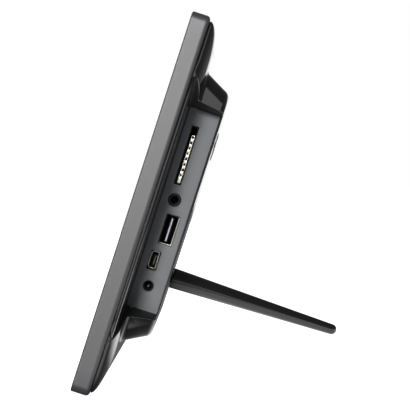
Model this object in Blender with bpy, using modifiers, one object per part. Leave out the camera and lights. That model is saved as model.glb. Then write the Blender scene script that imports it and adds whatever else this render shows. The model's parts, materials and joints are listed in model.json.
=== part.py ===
"""Digital photo frame of the 8-inch class, standing on its screw-in leg.

The pieces are modelled upright, with x across the frame, y from the front face to the rear and z up
from the lower edge. They hang on one empty, which leans the frame back until its lower rear edge and
the tip of the leg stand on z = 0.
"""

import math

import bmesh
import bpy
from mathutils import Matrix

MM = 0.001

# Overall sizes
WIDTH = 206.0 * MM
HEIGHT = 165.0 * MM
BEZEL_DEPTH = 8.0 * MM
COVER_DEPTH = 24.8 * MM  # front face to the rear face of the hump, at its edge
CLEARANCE = 0.3 * MM

# Front bezel
OUTLINE_RADIUS = 3.6 * MM
FRONT_ROUND = 0.5 * MM
REAR_ROUND = 1.6 * MM
BEZEL_WALL = 2.8 * MM
BEZEL_FACE = 2.0 * MM
BORDER_SIDE = 22.0 * MM
BORDER_TOP = 21.5 * MM
WINDOW_BEVEL = 0.9 * MM
WINDOW_RADIUS = 0.8 * MM

# Display module
GLASS_MARGIN = 4.2 * MM  # glass hidden behind the border, each side
GLASS_THICKNESS = 1.2 * MM
FILM_THICKNESS = 0.4 * MM
GUIDE_THICKNESS = 1.5 * MM
TRAY_THICKNESS = 0.6 * MM
LCD_RIM = 0.8 * MM
LED_BAR = 2.0 * MM

# Rear cover: a domed dish round a hump
COVER_WALL = 1.8 * MM
COVER_INSET = 1.8 * MM
DISH_RISE = 4.5 * MM
HUMP_RAISED = 1.45 * MM  # centre of the hump above the centre of the frame
HUMP_MARGIN_SIDE = 23.0 * MM
HUMP_MARGIN_TOP = 21.5 * MM
HUMP_DRAFT = 0.50  # tangent of the draft angle
HUMP_CORNER = 7.0 * MM
HUMP_FOOT = 1.6 * MM  # fillet between dish and hump
HUMP_ROUND = 3.0 * MM
REAR_DOME = 0.3 * MM
COVER_WEDGE = 0.004  # the cover deepens this much per unit of height

# Port recess on the right-hand side
RECESS_INSET = 40.0 * MM  # side of the frame to the port panel
RECESS_WALL = 1.5 * MM  # floor of the recess above the seam
RECESS_LENGTH = 91.9 * MM
RECESS_RAISED = 1.1 * MM
RECESS_FLARE_TOP = 68.0 * MM  # radius of the splayed walls
RECESS_FLARE_BOTTOM = 54.0 * MM
PANEL_THICKNESS = 2.0 * MM
PANEL_LIP = 0.7 * MM

# Boards
STANDOFF_HEIGHT = 3.7 * MM
BOARD_THICKNESS = 1.2 * MM
BOARD_WIDTH = 65.0 * MM
BOARD_HEIGHT = 88.0 * MM
CHASSIS_THICKNESS = 0.8 * MM
STANDOFF_RADIUS = 2.0 * MM

# Ports: centre above the recess centre, and centre behind the main board
SD_RAISED, SD_OFF_BOARD = 24.85 * MM, 2.05 * MM
SD_LENGTH, SD_THICKNESS, SD_REACH = 26.4 * MM, 2.8 * MM, 28.0 * MM
CONTACT_PITCH, CONTACT_COUNT, CONTACT_HOLE = 2.5 * MM, 8, 1.0 * MM
PHONE_RAISED, PHONE_OFF_BOARD = 4.6 * MM, 3.1 * MM
PHONE_BARREL, PHONE_BORE = 2.7 * MM, 1.8 * MM
USB_RAISED, USB_OFF_BOARD = -8.7 * MM, 4.9 * MM
USB_LENGTH, USB_THICKNESS, USB_REACH = 13.1 * MM, 5.7 * MM, 14.0 * MM
MINI_RAISED, MINI_OFF_BOARD = -23.2 * MM, 2.4 * MM
MINI_LENGTH, MINI_THICKNESS, MINI_REACH = 7.7 * MM, 3.5 * MM, 9.0 * MM
MINI_CORNER = 1.3 * MM
MINI_WINDOW_SAG, MINI_WINDOW_BACK = 0.25 * MM, 0.1 * MM  # the window sits off the socket's centre
DC_RAISED, DC_OFF_BOARD = -34.9 * MM, 3.7 * MM
DC_HOLE, DC_BORE, DC_PIN = 2.4 * MM, 2.0 * MM, 0.55 * MM
PORT_WALL = 0.3 * MM
PORT_GAP = 0.25 * MM

# Keys on the rear
KEYS_BELOW_TOP = 46.7 * MM
KEY_PROUD = 0.4 * MM
KEY_TRAVEL = 0.25 * MM
KEY_OK_RADIUS = 2.7 * MM
KEY_RING_INNER = 3.4 * MM
KEY_RING_OUTER = 7.0 * MM
KEY_SIDE_OFFSET = 18.0 * MM
KEY_SIDE_LENGTH = 8.0 * MM
KEY_SIDE_HEIGHT = 4.8 * MM
KEY_FLANGE = 0.8 * MM
FLANGE_THICKNESS = 0.5 * MM
SWITCH_SIDE = 3.2 * MM
SWITCH_HEIGHT = 1.4 * MM

# Leg
LEG_HEIGHT = 51.8 * MM
LEG_ROOT_RADIUS = 4.95 * MM
LEG_TIP_RADIUS = 2.55 * MM
LEG_LENGTH = 83.6 * MM
STUD_RADIUS = 2.4 * MM
STUD_LENGTH = 7.5 * MM
INSERT_WALL = 1.3 * MM
INSERT_LENGTH = 7.6 * MM
WASHER_THICKNESS = 0.7 * MM
WASHER_WALL = 1.9 * MM

# Speakers and fasteners
SPEAKER_RADIUS = 11.5 * MM
SPEAKER_OFFSET = 34.0 * MM
SPEAKER_DEPTH = 4.4 * MM
GRILLE_SLOTS = 5
GRILLE_PITCH = 2.8 * MM
GRILLE_WIDTH = 1.3 * MM
SCREW_OFFSET = 60.0 * MM
SCREW_INSET = 9.5 * MM
SCREW_HEAD = 2.2 * MM
SCREW_SHANK = 1.2 * MM
BOSS_RADIUS = 3.0 * MM

# Places worked out from the sizes
MIDDLE = HEIGHT / 2
HUMP_Z = MIDDLE + HUMP_RAISED
RECESS_Z = MIDDLE + RECESS_RAISED
PANEL_X = WIDTH / 2 - RECESS_INSET
PANEL_BACK = PANEL_X - PANEL_THICKNESS
SEAM = BEZEL_DEPTH + CLEARANCE
RECESS_FLOOR = SEAM + RECESS_WALL
LCD_FRONT = BEZEL_FACE + CLEARANCE
FILM_FRONT = LCD_FRONT + GLASS_THICKNESS + CLEARANCE
GUIDE_FRONT = FILM_FRONT + FILM_THICKNESS + CLEARANCE
TRAY_FRONT = GUIDE_FRONT + GUIDE_THICKNESS + CLEARANCE
CHASSIS_FRONT = TRAY_FRONT + TRAY_THICKNESS + CLEARANCE
CHASSIS_BACK = CHASSIS_FRONT + CHASSIS_THICKNESS
BOARD_FRONT = CHASSIS_BACK + STANDOFF_HEIGHT
BOARD_BACK = BOARD_FRONT + BOARD_THICKNESS
SD_DEPTH = BOARD_BACK + SD_OFF_BOARD
PHONE_DEPTH = BOARD_BACK + PHONE_OFF_BOARD
USB_DEPTH = BOARD_BACK + USB_OFF_BOARD
MINI_DEPTH = BOARD_BACK + MINI_OFF_BOARD
DC_DEPTH = BOARD_BACK + DC_OFF_BOARD
COVER_INSIDE = COVER_DEPTH - COVER_WALL
KEYS_Z = HEIGHT - KEYS_BELOW_TOP
GLASS_WIDTH = WIDTH - 2 * BORDER_SIDE + 2 * GLASS_MARGIN
GLASS_HEIGHT = HEIGHT - 2 * BORDER_TOP + 2 * GLASS_MARGIN

FINISHES = {
    "satin_black": ((0.030, 0.030, 0.031), 0.45, 0.0),
    "gloss_black": ((0.010, 0.010, 0.011), 0.08, 0.0),
    "port_grey": ((0.055, 0.057, 0.060), 0.60, 0.0),
    "display_glass": ((0.015, 0.016, 0.018), 0.05, 0.0),
    "clear_plastic": ((0.80, 0.83, 0.85), 0.10, 0.0),
    "white_film": ((0.85, 0.85, 0.84), 0.55, 0.0),
    "steel_sheet": ((0.56, 0.56, 0.55), 0.30, 1.0),
    "nickel": ((0.72, 0.69, 0.63), 0.22, 1.0),
    "black_plastic": ((0.018, 0.018, 0.018), 0.40, 0.0),
    "board_green": ((0.020, 0.120, 0.050), 0.45, 0.0),
    "flex_film": ((0.50, 0.26, 0.07), 0.40, 0.0),
    "brass": ((0.72, 0.50, 0.22), 0.28, 1.0),
    "rubber": ((0.020, 0.020, 0.020), 0.80, 0.0),
}


def clear_scene():
    for thing in list(bpy.data.objects):
        bpy.data.objects.remove(thing, do_unlink=True)


def make_materials():
    made = {}
    for name, (colour, roughness, metallic) in FINISHES.items():
        material = bpy.data.materials.new(name)
        material.use_nodes = True
        shader = material.node_tree.nodes["Principled BSDF"]
        shader.inputs["Base Color"].default_value = (*colour, 1.0)
        shader.inputs["Roughness"].default_value = roughness
        shader.inputs["Metallic"].default_value = metallic
        made[name] = material
    return made


def make_collection(name):
    collection = bpy.data.collections.new(name)
    bpy.context.scene.collection.children.link(collection)
    return collection


def finish_mesh(name, shape, finish=None, at=(0, 0, 0)):
    """An object from a bmesh, on the leaning empty. With no finish it is a hidden cutter."""
    bmesh.ops.recalc_face_normals(shape, faces=shape.faces)
    mesh = bpy.data.meshes.new(name)
    shape.to_mesh(mesh)
    shape.free()
    mesh.shade_smooth()
    mesh.set_sharp_from_angle(angle=math.radians(35))
    thing = bpy.data.objects.new(name, mesh)
    thing.location = at
    thing.parent = LEAN
    if finish:
        mesh.materials.append(MATERIALS[finish])
        PARTS.objects.link(thing)
    else:
        thing.hide_render = True
        thing.display_type = "WIRE"
        CUTTERS.objects.link(thing)
    return thing


def box(name, low, high, finish=None, bevel=0.0):
    """A block between two corners, at its own centre."""
    size = [b - a for a, b in zip(low, high)]
    centre = [(a + b) / 2 for a, b in zip(low, high)]
    shape = bmesh.new()
    bmesh.ops.create_cube(shape, size=1.0, matrix=Matrix.Diagonal((*size, 1.0)))
    thing = finish_mesh(name, shape, finish, centre)
    if bevel:
        edge = thing.modifiers.new("Rounded edges", "BEVEL")
        edge.width = bevel
        edge.segments = 1
    return thing


def rod(name, radius, start, end, across, finish=None, along="Y", sides=20):
    """A cylinder from start to end along an axis; across is its centre on the two other axes."""
    turn = {"X": Matrix.Rotation(math.pi / 2, 4, "Y"), "Y": Matrix.Rotation(-math.pi / 2, 4, "X")}[along]
    middle = (start + end) / 2
    centre = (middle, *across) if along == "X" else (across[0], middle, across[1])
    shape = bmesh.new()
    bmesh.ops.create_cone(
        shape, cap_ends=True, segments=sides, radius1=radius, radius2=radius, depth=end - start, matrix=turn
    )
    return finish_mesh(name, shape, finish, centre)


def prism(name, outline, start, end, finish=None, along="Y"):
    """An outline given on the two other axes, swept from start to end along an axis."""
    shape = bmesh.new()
    if along == "Y":
        points = [shape.verts.new((u, start, v)) for u, v in outline]
        step = (0, end - start, 0)
    else:
        points = [shape.verts.new((start, u, v)) for u, v in outline]
        step = (end - start, 0, 0)
    face = shape.faces.new(points)
    swept = bmesh.ops.extrude_face_region(shape, geom=[face])
    moved = [item for item in swept["geom"] if isinstance(item, bmesh.types.BMVert)]
    bmesh.ops.translate(shape, verts=moved, vec=step)
    return finish_mesh(name, shape, finish)


def turned(name, profile, at, finish, steps=20):
    """A profile of (radius, distance along y) from the rear end to the front end, turned round the y axis."""
    mesh = bpy.data.meshes.new(name)
    points = [(radius, 0.0, distance) for radius, distance in profile]
    mesh.from_pydata(points, [(i, i + 1) for i in range(len(points) - 1)], [])
    mesh.materials.append(MATERIALS[finish])
    thing = bpy.data.objects.new(name, mesh)
    thing.location = at
    thing.rotation_euler = (-math.pi / 2, 0, 0)
    thing.parent = LEAN
    PARTS.objects.link(thing)
    lathe = thing.modifiers.new("Turn", "SCREW")
    lathe.steps = steps
    lathe.render_steps = steps
    lathe.use_merge_vertices = True
    lathe.merge_threshold = 0.00001
    lathe.use_smooth_shade = True
    return thing


def rounded_rectangle(half_width, half_height, radius, centre_z, steps=4):
    """Points round a rectangle with arcs for corners."""
    corners = ((1, 1, 0), (-1, 1, 90), (-1, -1, 180), (1, -1, 270))
    points = []
    for side_x, side_z, first in corners:
        x = side_x * (half_width - radius)
        z = side_z * (half_height - radius) + centre_z
        for step in range(steps + 1):
            angle = math.radians(first + 90 * step / steps)
            points.append((x + radius * math.cos(angle), z + radius * math.sin(angle)))
    return points


def loft(name, sections, finish=None, ring=False, wedge=0.0):
    """A skin over rounded rectangles, each (half width, half height, radius, centre z, y).

    A ring joins the last section to the first, and otherwise both ends are capped. The wedge adds depth
    in proportion to the height, fading out at the seam.
    """
    shape = bmesh.new()
    loops = []
    for half_width, half_height, radius, centre_z, y in sections:
        points = rounded_rectangle(half_width, half_height, radius, centre_z)
        fade = min(1.0, max(0.0, (y - SEAM) / (3 * MM)))
        loops.append([shape.verts.new((x, y + wedge * fade * (z - MIDDLE), z)) for x, z in points])
    pairs = list(zip(loops, loops[1:]))
    if ring:
        pairs.append((loops[-1], loops[0]))
    else:
        shape.faces.new(loops[0])
        shape.faces.new(loops[-1])
    for first, second in pairs:
        for i in range(len(first)):
            j = (i + 1) % len(first)
            shape.faces.new((first[i], first[j], second[j], second[i]))
    return finish_mesh(name, shape, finish)


def combine(target, other, operation="DIFFERENCE"):
    joint = target.modifiers.new(f"{operation.title()} {other.name}", "BOOLEAN")
    joint.operation = operation
    joint.object = other
    return target


def framed(inset_side, inset_top, radius, y):
    """A section that keeps a stated inset from the frame's outline."""
    return (WIDTH / 2 - inset_side, HEIGHT / 2 - inset_top, radius, MIDDLE, y)


# ---- Front bezel ----


def bezel_sections():
    """Cross-section of the bezel, from the front face round the outside and back through the inside."""
    sections = [framed(FRONT_ROUND, FRONT_ROUND, OUTLINE_RADIUS - FRONT_ROUND, 0.0)]
    soft = FRONT_ROUND * (1 - math.sqrt(0.5))
    sections.append(framed(soft, soft, OUTLINE_RADIUS - soft, soft))
    for step in range(5):
        angle = math.radians(22.5 * step)
        inset = REAR_ROUND * (1 - math.cos(angle))
        y = BEZEL_DEPTH - REAR_ROUND * (1 - math.sin(angle))
        if step == 0:
            sections.append(framed(0.0, 0.0, OUTLINE_RADIUS, FRONT_ROUND))
        sections.append(framed(inset, inset, OUTLINE_RADIUS - inset, y))
    inner_radius = OUTLINE_RADIUS - REAR_ROUND
    sections.append(framed(BEZEL_WALL, BEZEL_WALL, inner_radius, BEZEL_DEPTH))
    sections.append(framed(BEZEL_WALL, BEZEL_WALL, inner_radius, BEZEL_FACE))
    sections.append(framed(BORDER_SIDE, BORDER_TOP, WINDOW_RADIUS, BEZEL_FACE))
    sections.append(framed(BORDER_SIDE, BORDER_TOP, WINDOW_RADIUS, BEZEL_FACE - WINDOW_BEVEL))
    outer_radius = WINDOW_RADIUS + WINDOW_BEVEL
    sections.append(framed(BORDER_SIDE - WINDOW_BEVEL, BORDER_TOP - WINDOW_BEVEL, outer_radius, 0.0))
    return sections


def screw_places():
    for side in (-1, 1):
        for z in (SCREW_INSET, HEIGHT - SCREW_INSET):
            yield side * SCREW_OFFSET, z


def make_bezel():
    bezel = loft("front_bezel", bezel_sections(), "satin_black", ring=True)
    for number, place in enumerate(screw_places(), 1):
        boss = rod(f"bezel_boss_{number}", BOSS_RADIUS, BEZEL_FACE / 2, BEZEL_DEPTH - CLEARANCE, place, sides=16)
        pilot = rod(f"bezel_pilot_{number}", SCREW_SHANK + CLEARANCE, BEZEL_FACE + 1 * MM, BEZEL_DEPTH + 1 * MM,
                    place, sides=12)
        combine(bezel, boss, "UNION")
        combine(bezel, pilot)


# ---- Display module ----


def display_sheet(name, shrink, front, thickness, finish):
    """A flat layer of the display, smaller than the glass by a margin on each side."""
    half_width = GLASS_WIDTH / 2 - shrink
    half_height = GLASS_HEIGHT / 2 - shrink
    low = (-half_width, front, MIDDLE - half_height)
    high = (half_width, front + thickness, MIDDLE + half_height)
    return box(name, low, high, finish)


def make_display():
    display_sheet("lcd_glass", 0.0, LCD_FRONT, GLASS_THICKNESS, "display_glass")
    display_sheet("diffuser_film", 0.5 * MM, FILM_FRONT, FILM_THICKNESS, "white_film")
    guide_low = -GLASS_HEIGHT / 2 + MIDDLE + LED_BAR + 2 * CLEARANCE
    half = GLASS_WIDTH / 2 - 1 * MM
    back = GUIDE_FRONT + GUIDE_THICKNESS
    top = MIDDLE + GLASS_HEIGHT / 2 - 1 * MM
    box("light_guide", (-half, GUIDE_FRONT, guide_low), (half, back, top), "clear_plastic")
    box("led_bar", (-half, GUIDE_FRONT, guide_low - CLEARANCE - LED_BAR), (half, back, guide_low - CLEARANCE),
        "white_film")
    display_sheet("lcd_tray", 0.0, TRAY_FRONT, TRAY_THICKNESS, "steel_sheet")
    inner = (GLASS_WIDTH / 2 + CLEARANCE, GLASS_HEIGHT / 2 + CLEARANCE)
    outer = (inner[0] + LCD_RIM, inner[1] + LCD_RIM)
    tray_back = TRAY_FRONT + TRAY_THICKNESS
    ring = [(*size, 1 * MM, MIDDLE, y) for size, y in (
        (outer, LCD_FRONT), (outer, tray_back), (inner, tray_back), (inner, LCD_FRONT))]
    loft("lcd_rim", ring, "steel_sheet", ring=True)


# ---- Rear cover ----


def hump_half(y):
    """Half width and half height of the drafted hump at a depth."""
    pull_in = HUMP_DRAFT * (y - SEAM - DISH_RISE)
    return WIDTH / 2 - HUMP_MARGIN_SIDE - pull_in, HEIGHT / 2 - HUMP_MARGIN_TOP - pull_in


def cover_sections():
    """Outside of the rear cover, from the seam over the dish, up the hump and across its rear face."""
    start = (WIDTH / 2 - COVER_INSET, HEIGHT / 2 - COVER_INSET)
    foot = [half + HUMP_FOOT for half in hump_half(SEAM + DISH_RISE)]
    sections = []
    for u in (0.0, 0.015, 0.06, 0.14, 0.25, 0.4, 0.6, 0.8, 1.0):
        half_width = start[0] + (foot[0] - start[0]) * u
        half_height = start[1] + (foot[1] - start[1]) * u
        radius = OUTLINE_RADIUS - COVER_INSET + (HUMP_CORNER - OUTLINE_RADIUS + COVER_INSET) * u
        y = SEAM + DISH_RISE * math.sqrt(1 - (1 - u) ** 2)
        sections.append((half_width, half_height, radius, MIDDLE + HUMP_RAISED * u, y))
    y = SEAM + DISH_RISE + 0.35 * HUMP_FOOT
    halves = [half + 0.35 * HUMP_FOOT for half in hump_half(y)]
    sections.append((*halves, HUMP_CORNER, HUMP_Z, y))
    for y in (SEAM + DISH_RISE + HUMP_FOOT, COVER_DEPTH - 0.85 * HUMP_ROUND):
        sections.append((*hump_half(y), HUMP_CORNER, HUMP_Z, y))
    edge = hump_half(COVER_DEPTH - 0.85 * HUMP_ROUND)
    for t in (0.3, 0.6, 0.85, 1.0):
        pull_in = HUMP_ROUND * (0.45 * t + 0.75 * t * t)
        y = COVER_DEPTH - 0.85 * HUMP_ROUND * (1 - math.sin(t * math.pi / 2))
        sections.append((edge[0] - pull_in, edge[1] - pull_in, HUMP_CORNER, HUMP_Z, y))
    rim = sections[-1]
    for share in (0.7, 0.35):
        dome = REAR_DOME * (1 - share * share)
        sections.append((rim[0] * share, rim[1] * share, HUMP_CORNER, HUMP_Z, COVER_DEPTH + dome))
    return sections


def cavity_sections():
    """Inside of the rear cover, one wall thickness within the outside."""
    start = (WIDTH / 2 - COVER_INSET - COVER_WALL, HEIGHT / 2 - COVER_INSET - COVER_WALL)
    foot = [half - 0.4 * COVER_WALL for half in hump_half(SEAM + DISH_RISE)]
    sections = [(*start, 2 * MM, MIDDLE, SEAM - 1 * MM), (*start, 2 * MM, MIDDLE, SEAM + 0.2 * MM)]
    for u in (0.15, 0.35, 0.65, 1.0):
        half_width = start[0] + (foot[0] - start[0]) * u
        half_height = start[1] + (foot[1] - start[1]) * u
        y = SEAM + 0.2 * MM + (DISH_RISE - COVER_WALL) * math.sqrt(1 - (1 - u) ** 2)
        sections.append((half_width, half_height, 5 * MM, MIDDLE + HUMP_RAISED * u, y))
    for y in (SEAM + DISH_RISE + 0.4 * MM, COVER_INSIDE - 1.2 * MM):
        halves = [half - 1.15 * COVER_WALL for half in hump_half(y)]
        sections.append((*halves, HUMP_CORNER - COVER_WALL, HUMP_Z, y))
    last = sections[-1]
    sections.append((last[0] - 1.4 * MM, last[1] - 1.4 * MM, HUMP_CORNER - COVER_WALL, HUMP_Z, COVER_INSIDE))
    return sections


def recess_outline(grow=0.0):
    """The port recess seen from the rear: a straight back wall and two walls splayed along arcs."""
    half = RECESS_LENGTH / 2 + grow
    back = PANEL_X - grow
    reach = WIDTH / 2 + 2 * MM - back
    lower = []
    upper = []
    for step in range(9):
        out = reach * step / 8
        lower.append((back + out, RECESS_Z - half - out * out / (2 * RECESS_FLARE_BOTTOM)))
        upper.append((back + out, RECESS_Z + half + out * out / (2 * RECESS_FLARE_TOP)))
    return lower + upper[::-1]


def make_cover():
    cover = loft("rear_cover", cover_sections(), "gloss_black", wedge=COVER_WEDGE)
    recess = prism("recess", recess_outline(), RECESS_FLOOR, COVER_DEPTH + 20 * MM)
    combine(cover, recess)
    cavity = loft("cavity", cavity_sections(), wedge=COVER_WEDGE)
    recess_wall = prism("recess_wall", recess_outline(COVER_WALL), RECESS_FLOOR - COVER_WALL - 5 * MM,
                        COVER_DEPTH + 20 * MM)
    combine(cavity, recess_wall)
    combine(cover, cavity)
    slack = 0.05 * MM
    panel_half = RECESS_LENGTH / 2 - slack
    low = (PANEL_BACK - 3 * MM, RECESS_FLOOR + slack, RECESS_Z - panel_half)
    high = (PANEL_X + 1 * MM, COVER_DEPTH - PANEL_LIP, RECESS_Z + panel_half)
    combine(cover, box("panel_slot", low, high))
    for number, place in enumerate(screw_places(), 1):
        post = rod(f"cover_post_{number}", BOSS_RADIUS + 0.2 * MM, SEAM, SEAM + 2 * MM, place, sides=16)
        combine(cover, post, "UNION")
        bore = rod(f"screw_bore_{number}", SCREW_SHANK + CLEARANCE, SEAM - 1 * MM, SEAM + 6 * MM, place, sides=12)
        combine(cover, bore)
        sink = rod(f"screw_sink_{number}", SCREW_HEAD + CLEARANCE, SEAM + 1.1 * MM, SEAM + 6 * MM, place, sides=16)
        combine(cover, sink)
    make_leg_boss(cover)
    make_key_openings(cover)
    make_grilles(cover)


def make_leg_boss(cover):
    place = (0.0, LEG_HEIGHT)
    outer = STUD_RADIUS + CLEARANCE + INSERT_WALL + CLEARANCE + COVER_WALL
    boss = rod("leg_boss", outer, insert_front() - COVER_WALL, COVER_DEPTH - 0.8 * MM, place)
    combine(cover, boss, "UNION")
    bore = rod("insert_bore", outer - COVER_WALL, insert_front() - CLEARANCE, COVER_DEPTH + 5 * MM, place)
    combine(cover, bore)
    seat_radius = STUD_RADIUS + CLEARANCE + WASHER_WALL + CLEARANCE
    seat = rod("washer_seat", seat_radius, washer_front() - CLEARANCE, COVER_DEPTH + 5 * MM, place)
    combine(cover, seat)


def make_key_openings(cover):
    top = COVER_DEPTH + 5 * MM
    bottom = COVER_INSIDE - 3 * MM
    pad = rod("pad_opening", KEY_RING_OUTER + CLEARANCE, bottom, top, (0.0, KEYS_Z), sides=32)
    combine(cover, pad)
    for side, name in ((-1, "menu"), (1, "power")):
        outline = oblong(side * KEY_SIDE_OFFSET, KEYS_Z, KEY_SIDE_LENGTH, KEY_SIDE_HEIGHT, CLEARANCE)
        combine(cover, prism(f"{name}_opening", outline, bottom, top))


def make_grilles(cover):
    for side, name in ((-1, "left"), (1, "right")):
        for slot in range(GRILLE_SLOTS):
            row = slot - (GRILLE_SLOTS - 1) / 2
            z = LEG_HEIGHT + row * GRILLE_PITCH
            length = 2 * (SPEAKER_RADIUS - 3.5 * MM) * math.sqrt(1 - (row / GRILLE_SLOTS) ** 2)
            outline = oblong(side * SPEAKER_OFFSET, z, length, GRILLE_WIDTH, 0.0, 3)
            combine(cover, prism(f"grille_{name}_{slot + 1}", outline, COVER_INSIDE - 2 * MM, COVER_DEPTH + 2 * MM))


def oblong(x, z, length, height, grow=0.0, steps=6):
    """A slot outline with half-round ends."""
    radius = height / 2 + grow
    straight = length / 2 - height / 2
    points = []
    for side, first in ((1, -90), (-1, 90)):
        for step in range(steps + 1):
            angle = math.radians(first + 180 * step / steps)
            points.append((x + side * straight + radius * math.cos(angle), z + radius * math.sin(angle)))
    return points


# ---- Ports ----


def port_z(raised):
    return RECESS_Z + raised


def make_port_panel():
    half = RECESS_LENGTH / 2 - CLEARANCE
    front = PANEL_X - 0.1 * MM
    low = (PANEL_BACK, RECESS_FLOOR + CLEARANCE, RECESS_Z - half)
    high = (front, COVER_DEPTH - PANEL_LIP - CLEARANCE, RECESS_Z + half)
    panel = box("port_panel", low, high, "port_grey")
    windows = (
        ("sd", SD_RAISED, SD_DEPTH, SD_LENGTH, SD_THICKNESS, PORT_GAP),
        ("usb", USB_RAISED, USB_DEPTH, USB_LENGTH, USB_THICKNESS, PORT_GAP),
        ("mini", MINI_RAISED - MINI_WINDOW_SAG, MINI_DEPTH + MINI_WINDOW_BACK, MINI_LENGTH, MINI_THICKNESS,
         2 * PORT_GAP),
    )
    for name, raised, depth, length, thickness, gap in windows:
        z = port_z(raised)
        low = (PANEL_BACK - 1 * MM, depth - thickness / 2 - gap, z - length / 2 - gap)
        high = (front + 1 * MM, depth + thickness / 2 + gap, z + length / 2 + gap)
        combine(panel, box(f"{name}_window", low, high))
    for name, raised, depth, radius in (
        ("phone", PHONE_RAISED, PHONE_DEPTH, PHONE_BARREL + PORT_GAP),
        ("dc", DC_RAISED, DC_DEPTH, DC_HOLE),
    ):
        hole = rod(f"{name}_hole", radius, PANEL_BACK - 1 * MM, front + 1 * MM, (depth, port_z(raised)), along="X",
                   sides=24)
        combine(panel, hole)


def pocketed_box(name, raised, depth, length, thickness, reach, finish):
    """A folded sheet shell, open at its mouth: a block with a blind pocket."""
    z = port_z(raised)
    mouth = PANEL_X - 0.4 * MM
    low = (mouth - reach, depth - thickness / 2, z - length / 2)
    high = (mouth, depth + thickness / 2, z + length / 2)
    shell = box(name, low, high, finish)
    pocket_low = (low[0] + 4 * PORT_WALL, low[1] + PORT_WALL, low[2] + PORT_WALL)
    pocket_high = (mouth + 1 * MM, high[1] - PORT_WALL, high[2] - PORT_WALL)
    combine(shell, box(f"{name}_pocket", pocket_low, pocket_high))
    return pocket_low, (mouth, *pocket_high[1:])


def make_sd_socket():
    low, high = pocketed_box("sd_shell", SD_RAISED, SD_DEPTH, SD_LENGTH, SD_THICKNESS, SD_REACH, "nickel")
    row = (CONTACT_COUNT - 1) * CONTACT_PITCH
    first = port_z(SD_RAISED) - SD_LENGTH / 2 + 4.05 * MM
    bar_low = (high[0] - 6 * MM, high[1] - 1.2 * MM, low[2] + CLEARANCE)
    bar_high = (high[0] - 1 * MM, high[1] - CLEARANCE, first + row + 0.9 * MM)
    bar = box("sd_contact_bar", bar_low, bar_high, "nickel")
    for number in range(CONTACT_COUNT):
        z = first + number * CONTACT_PITCH
        hole_low = (bar_high[0] - 3 * MM, bar_low[1] - 1 * MM, z - CONTACT_HOLE / 2)
        hole_high = (bar_high[0] + 1 * MM, bar_low[1] + 0.45 * MM, z + CONTACT_HOLE / 2)
        combine(bar, box(f"contact_notch_{number + 1}", hole_low, hole_high))


def make_usb_socket():
    low, high = pocketed_box("usb_shell", USB_RAISED, USB_DEPTH, USB_LENGTH, USB_THICKNESS, USB_REACH, "nickel")
    z = port_z(USB_RAISED)
    tongue_low = (low[0] + CLEARANCE, USB_DEPTH - 0.9 * MM, z - 5.55 * MM)
    tongue_high = (high[0] - 0.5 * MM, USB_DEPTH + 0.9 * MM, z + 5.55 * MM)
    box("usb_tongue", tongue_low, tongue_high, "black_plastic")


def mini_outline(shrink):
    """The mouth of the mini socket: a rectangle whose two front corners are cut away."""
    z = port_z(MINI_RAISED)
    half = MINI_LENGTH / 2 - shrink
    front = MINI_DEPTH - MINI_THICKNESS / 2 + shrink
    rear = MINI_DEPTH + MINI_THICKNESS / 2 - shrink
    cut = MINI_CORNER
    return [
        (front, z - half + cut), (front, z + half - cut), (front + cut, z + half),
        (rear, z + half), (rear, z - half), (front + cut, z - half),
    ]


def make_mini_socket():
    mouth = PANEL_X - 0.2 * MM
    back = mouth - MINI_REACH
    shell = prism("mini_usb_shell", mini_outline(0.0), back, mouth, "nickel", along="X")
    pocket = prism("mini_pocket", mini_outline(PORT_WALL), back + 1 * MM, mouth + 1 * MM, along="X")
    combine(shell, pocket)
    z = port_z(MINI_RAISED)
    low = (back + 1 * MM + CLEARANCE, MINI_DEPTH + 0.1 * MM, z - 2.3 * MM)
    high = (mouth - 0.6 * MM, MINI_DEPTH + 0.9 * MM, z + 2.3 * MM)
    box("mini_usb_tongue", low, high, "black_plastic")


def make_phone_jack():
    z = port_z(PHONE_RAISED)
    body_front = PANEL_BACK - CLEARANCE
    low = (body_front - 11 * MM, BOARD_BACK + CLEARANCE, z - 3 * MM)
    high = (body_front, PHONE_DEPTH + 3 * MM, z + 3 * MM)
    jack = box("headphone_jack", low, high, "black_plastic")
    barrel = rod("jack_barrel", PHONE_BARREL, body_front - 1 * MM, PANEL_X - 0.1 * MM, (PHONE_DEPTH, z), along="X",
                 sides=24)
    combine(jack, barrel, "UNION")
    bore = rod("jack_bore", PHONE_BORE, body_front - 10 * MM, PANEL_X + 1 * MM, (PHONE_DEPTH, z), along="X", sides=18)
    combine(jack, bore)


def make_dc_jack():
    z = port_z(DC_RAISED)
    body_front = PANEL_BACK - CLEARANCE
    low = (body_front - 11 * MM, BOARD_BACK + CLEARANCE, z - 4.2 * MM)
    high = (body_front, DC_DEPTH + 3.4 * MM, z + 4.2 * MM)
    jack = box("dc_jack", low, high, "black_plastic")
    bore = rod("dc_bore", DC_BORE, body_front - 9.5 * MM, PANEL_X + 1 * MM, (DC_DEPTH, z), along="X", sides=18)
    combine(jack, bore)
    rod("dc_jack_pin", DC_PIN, body_front - 9.2 * MM, PANEL_X - 1.2 * MM, (DC_DEPTH, z), "nickel", along="X", sides=12)


# ---- Chassis and boards ----


def board_edges():
    right = PANEL_BACK - 0.8 * MM
    return right - BOARD_WIDTH, right


def board_screw_places():
    left, right = board_edges()
    for x in (left + 5 * MM, right - 28 * MM):
        for z in (RECESS_Z - BOARD_HEIGHT / 2 + 4 * MM, RECESS_Z + BOARD_HEIGHT / 2 - 4 * MM):
            yield x, z


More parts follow.
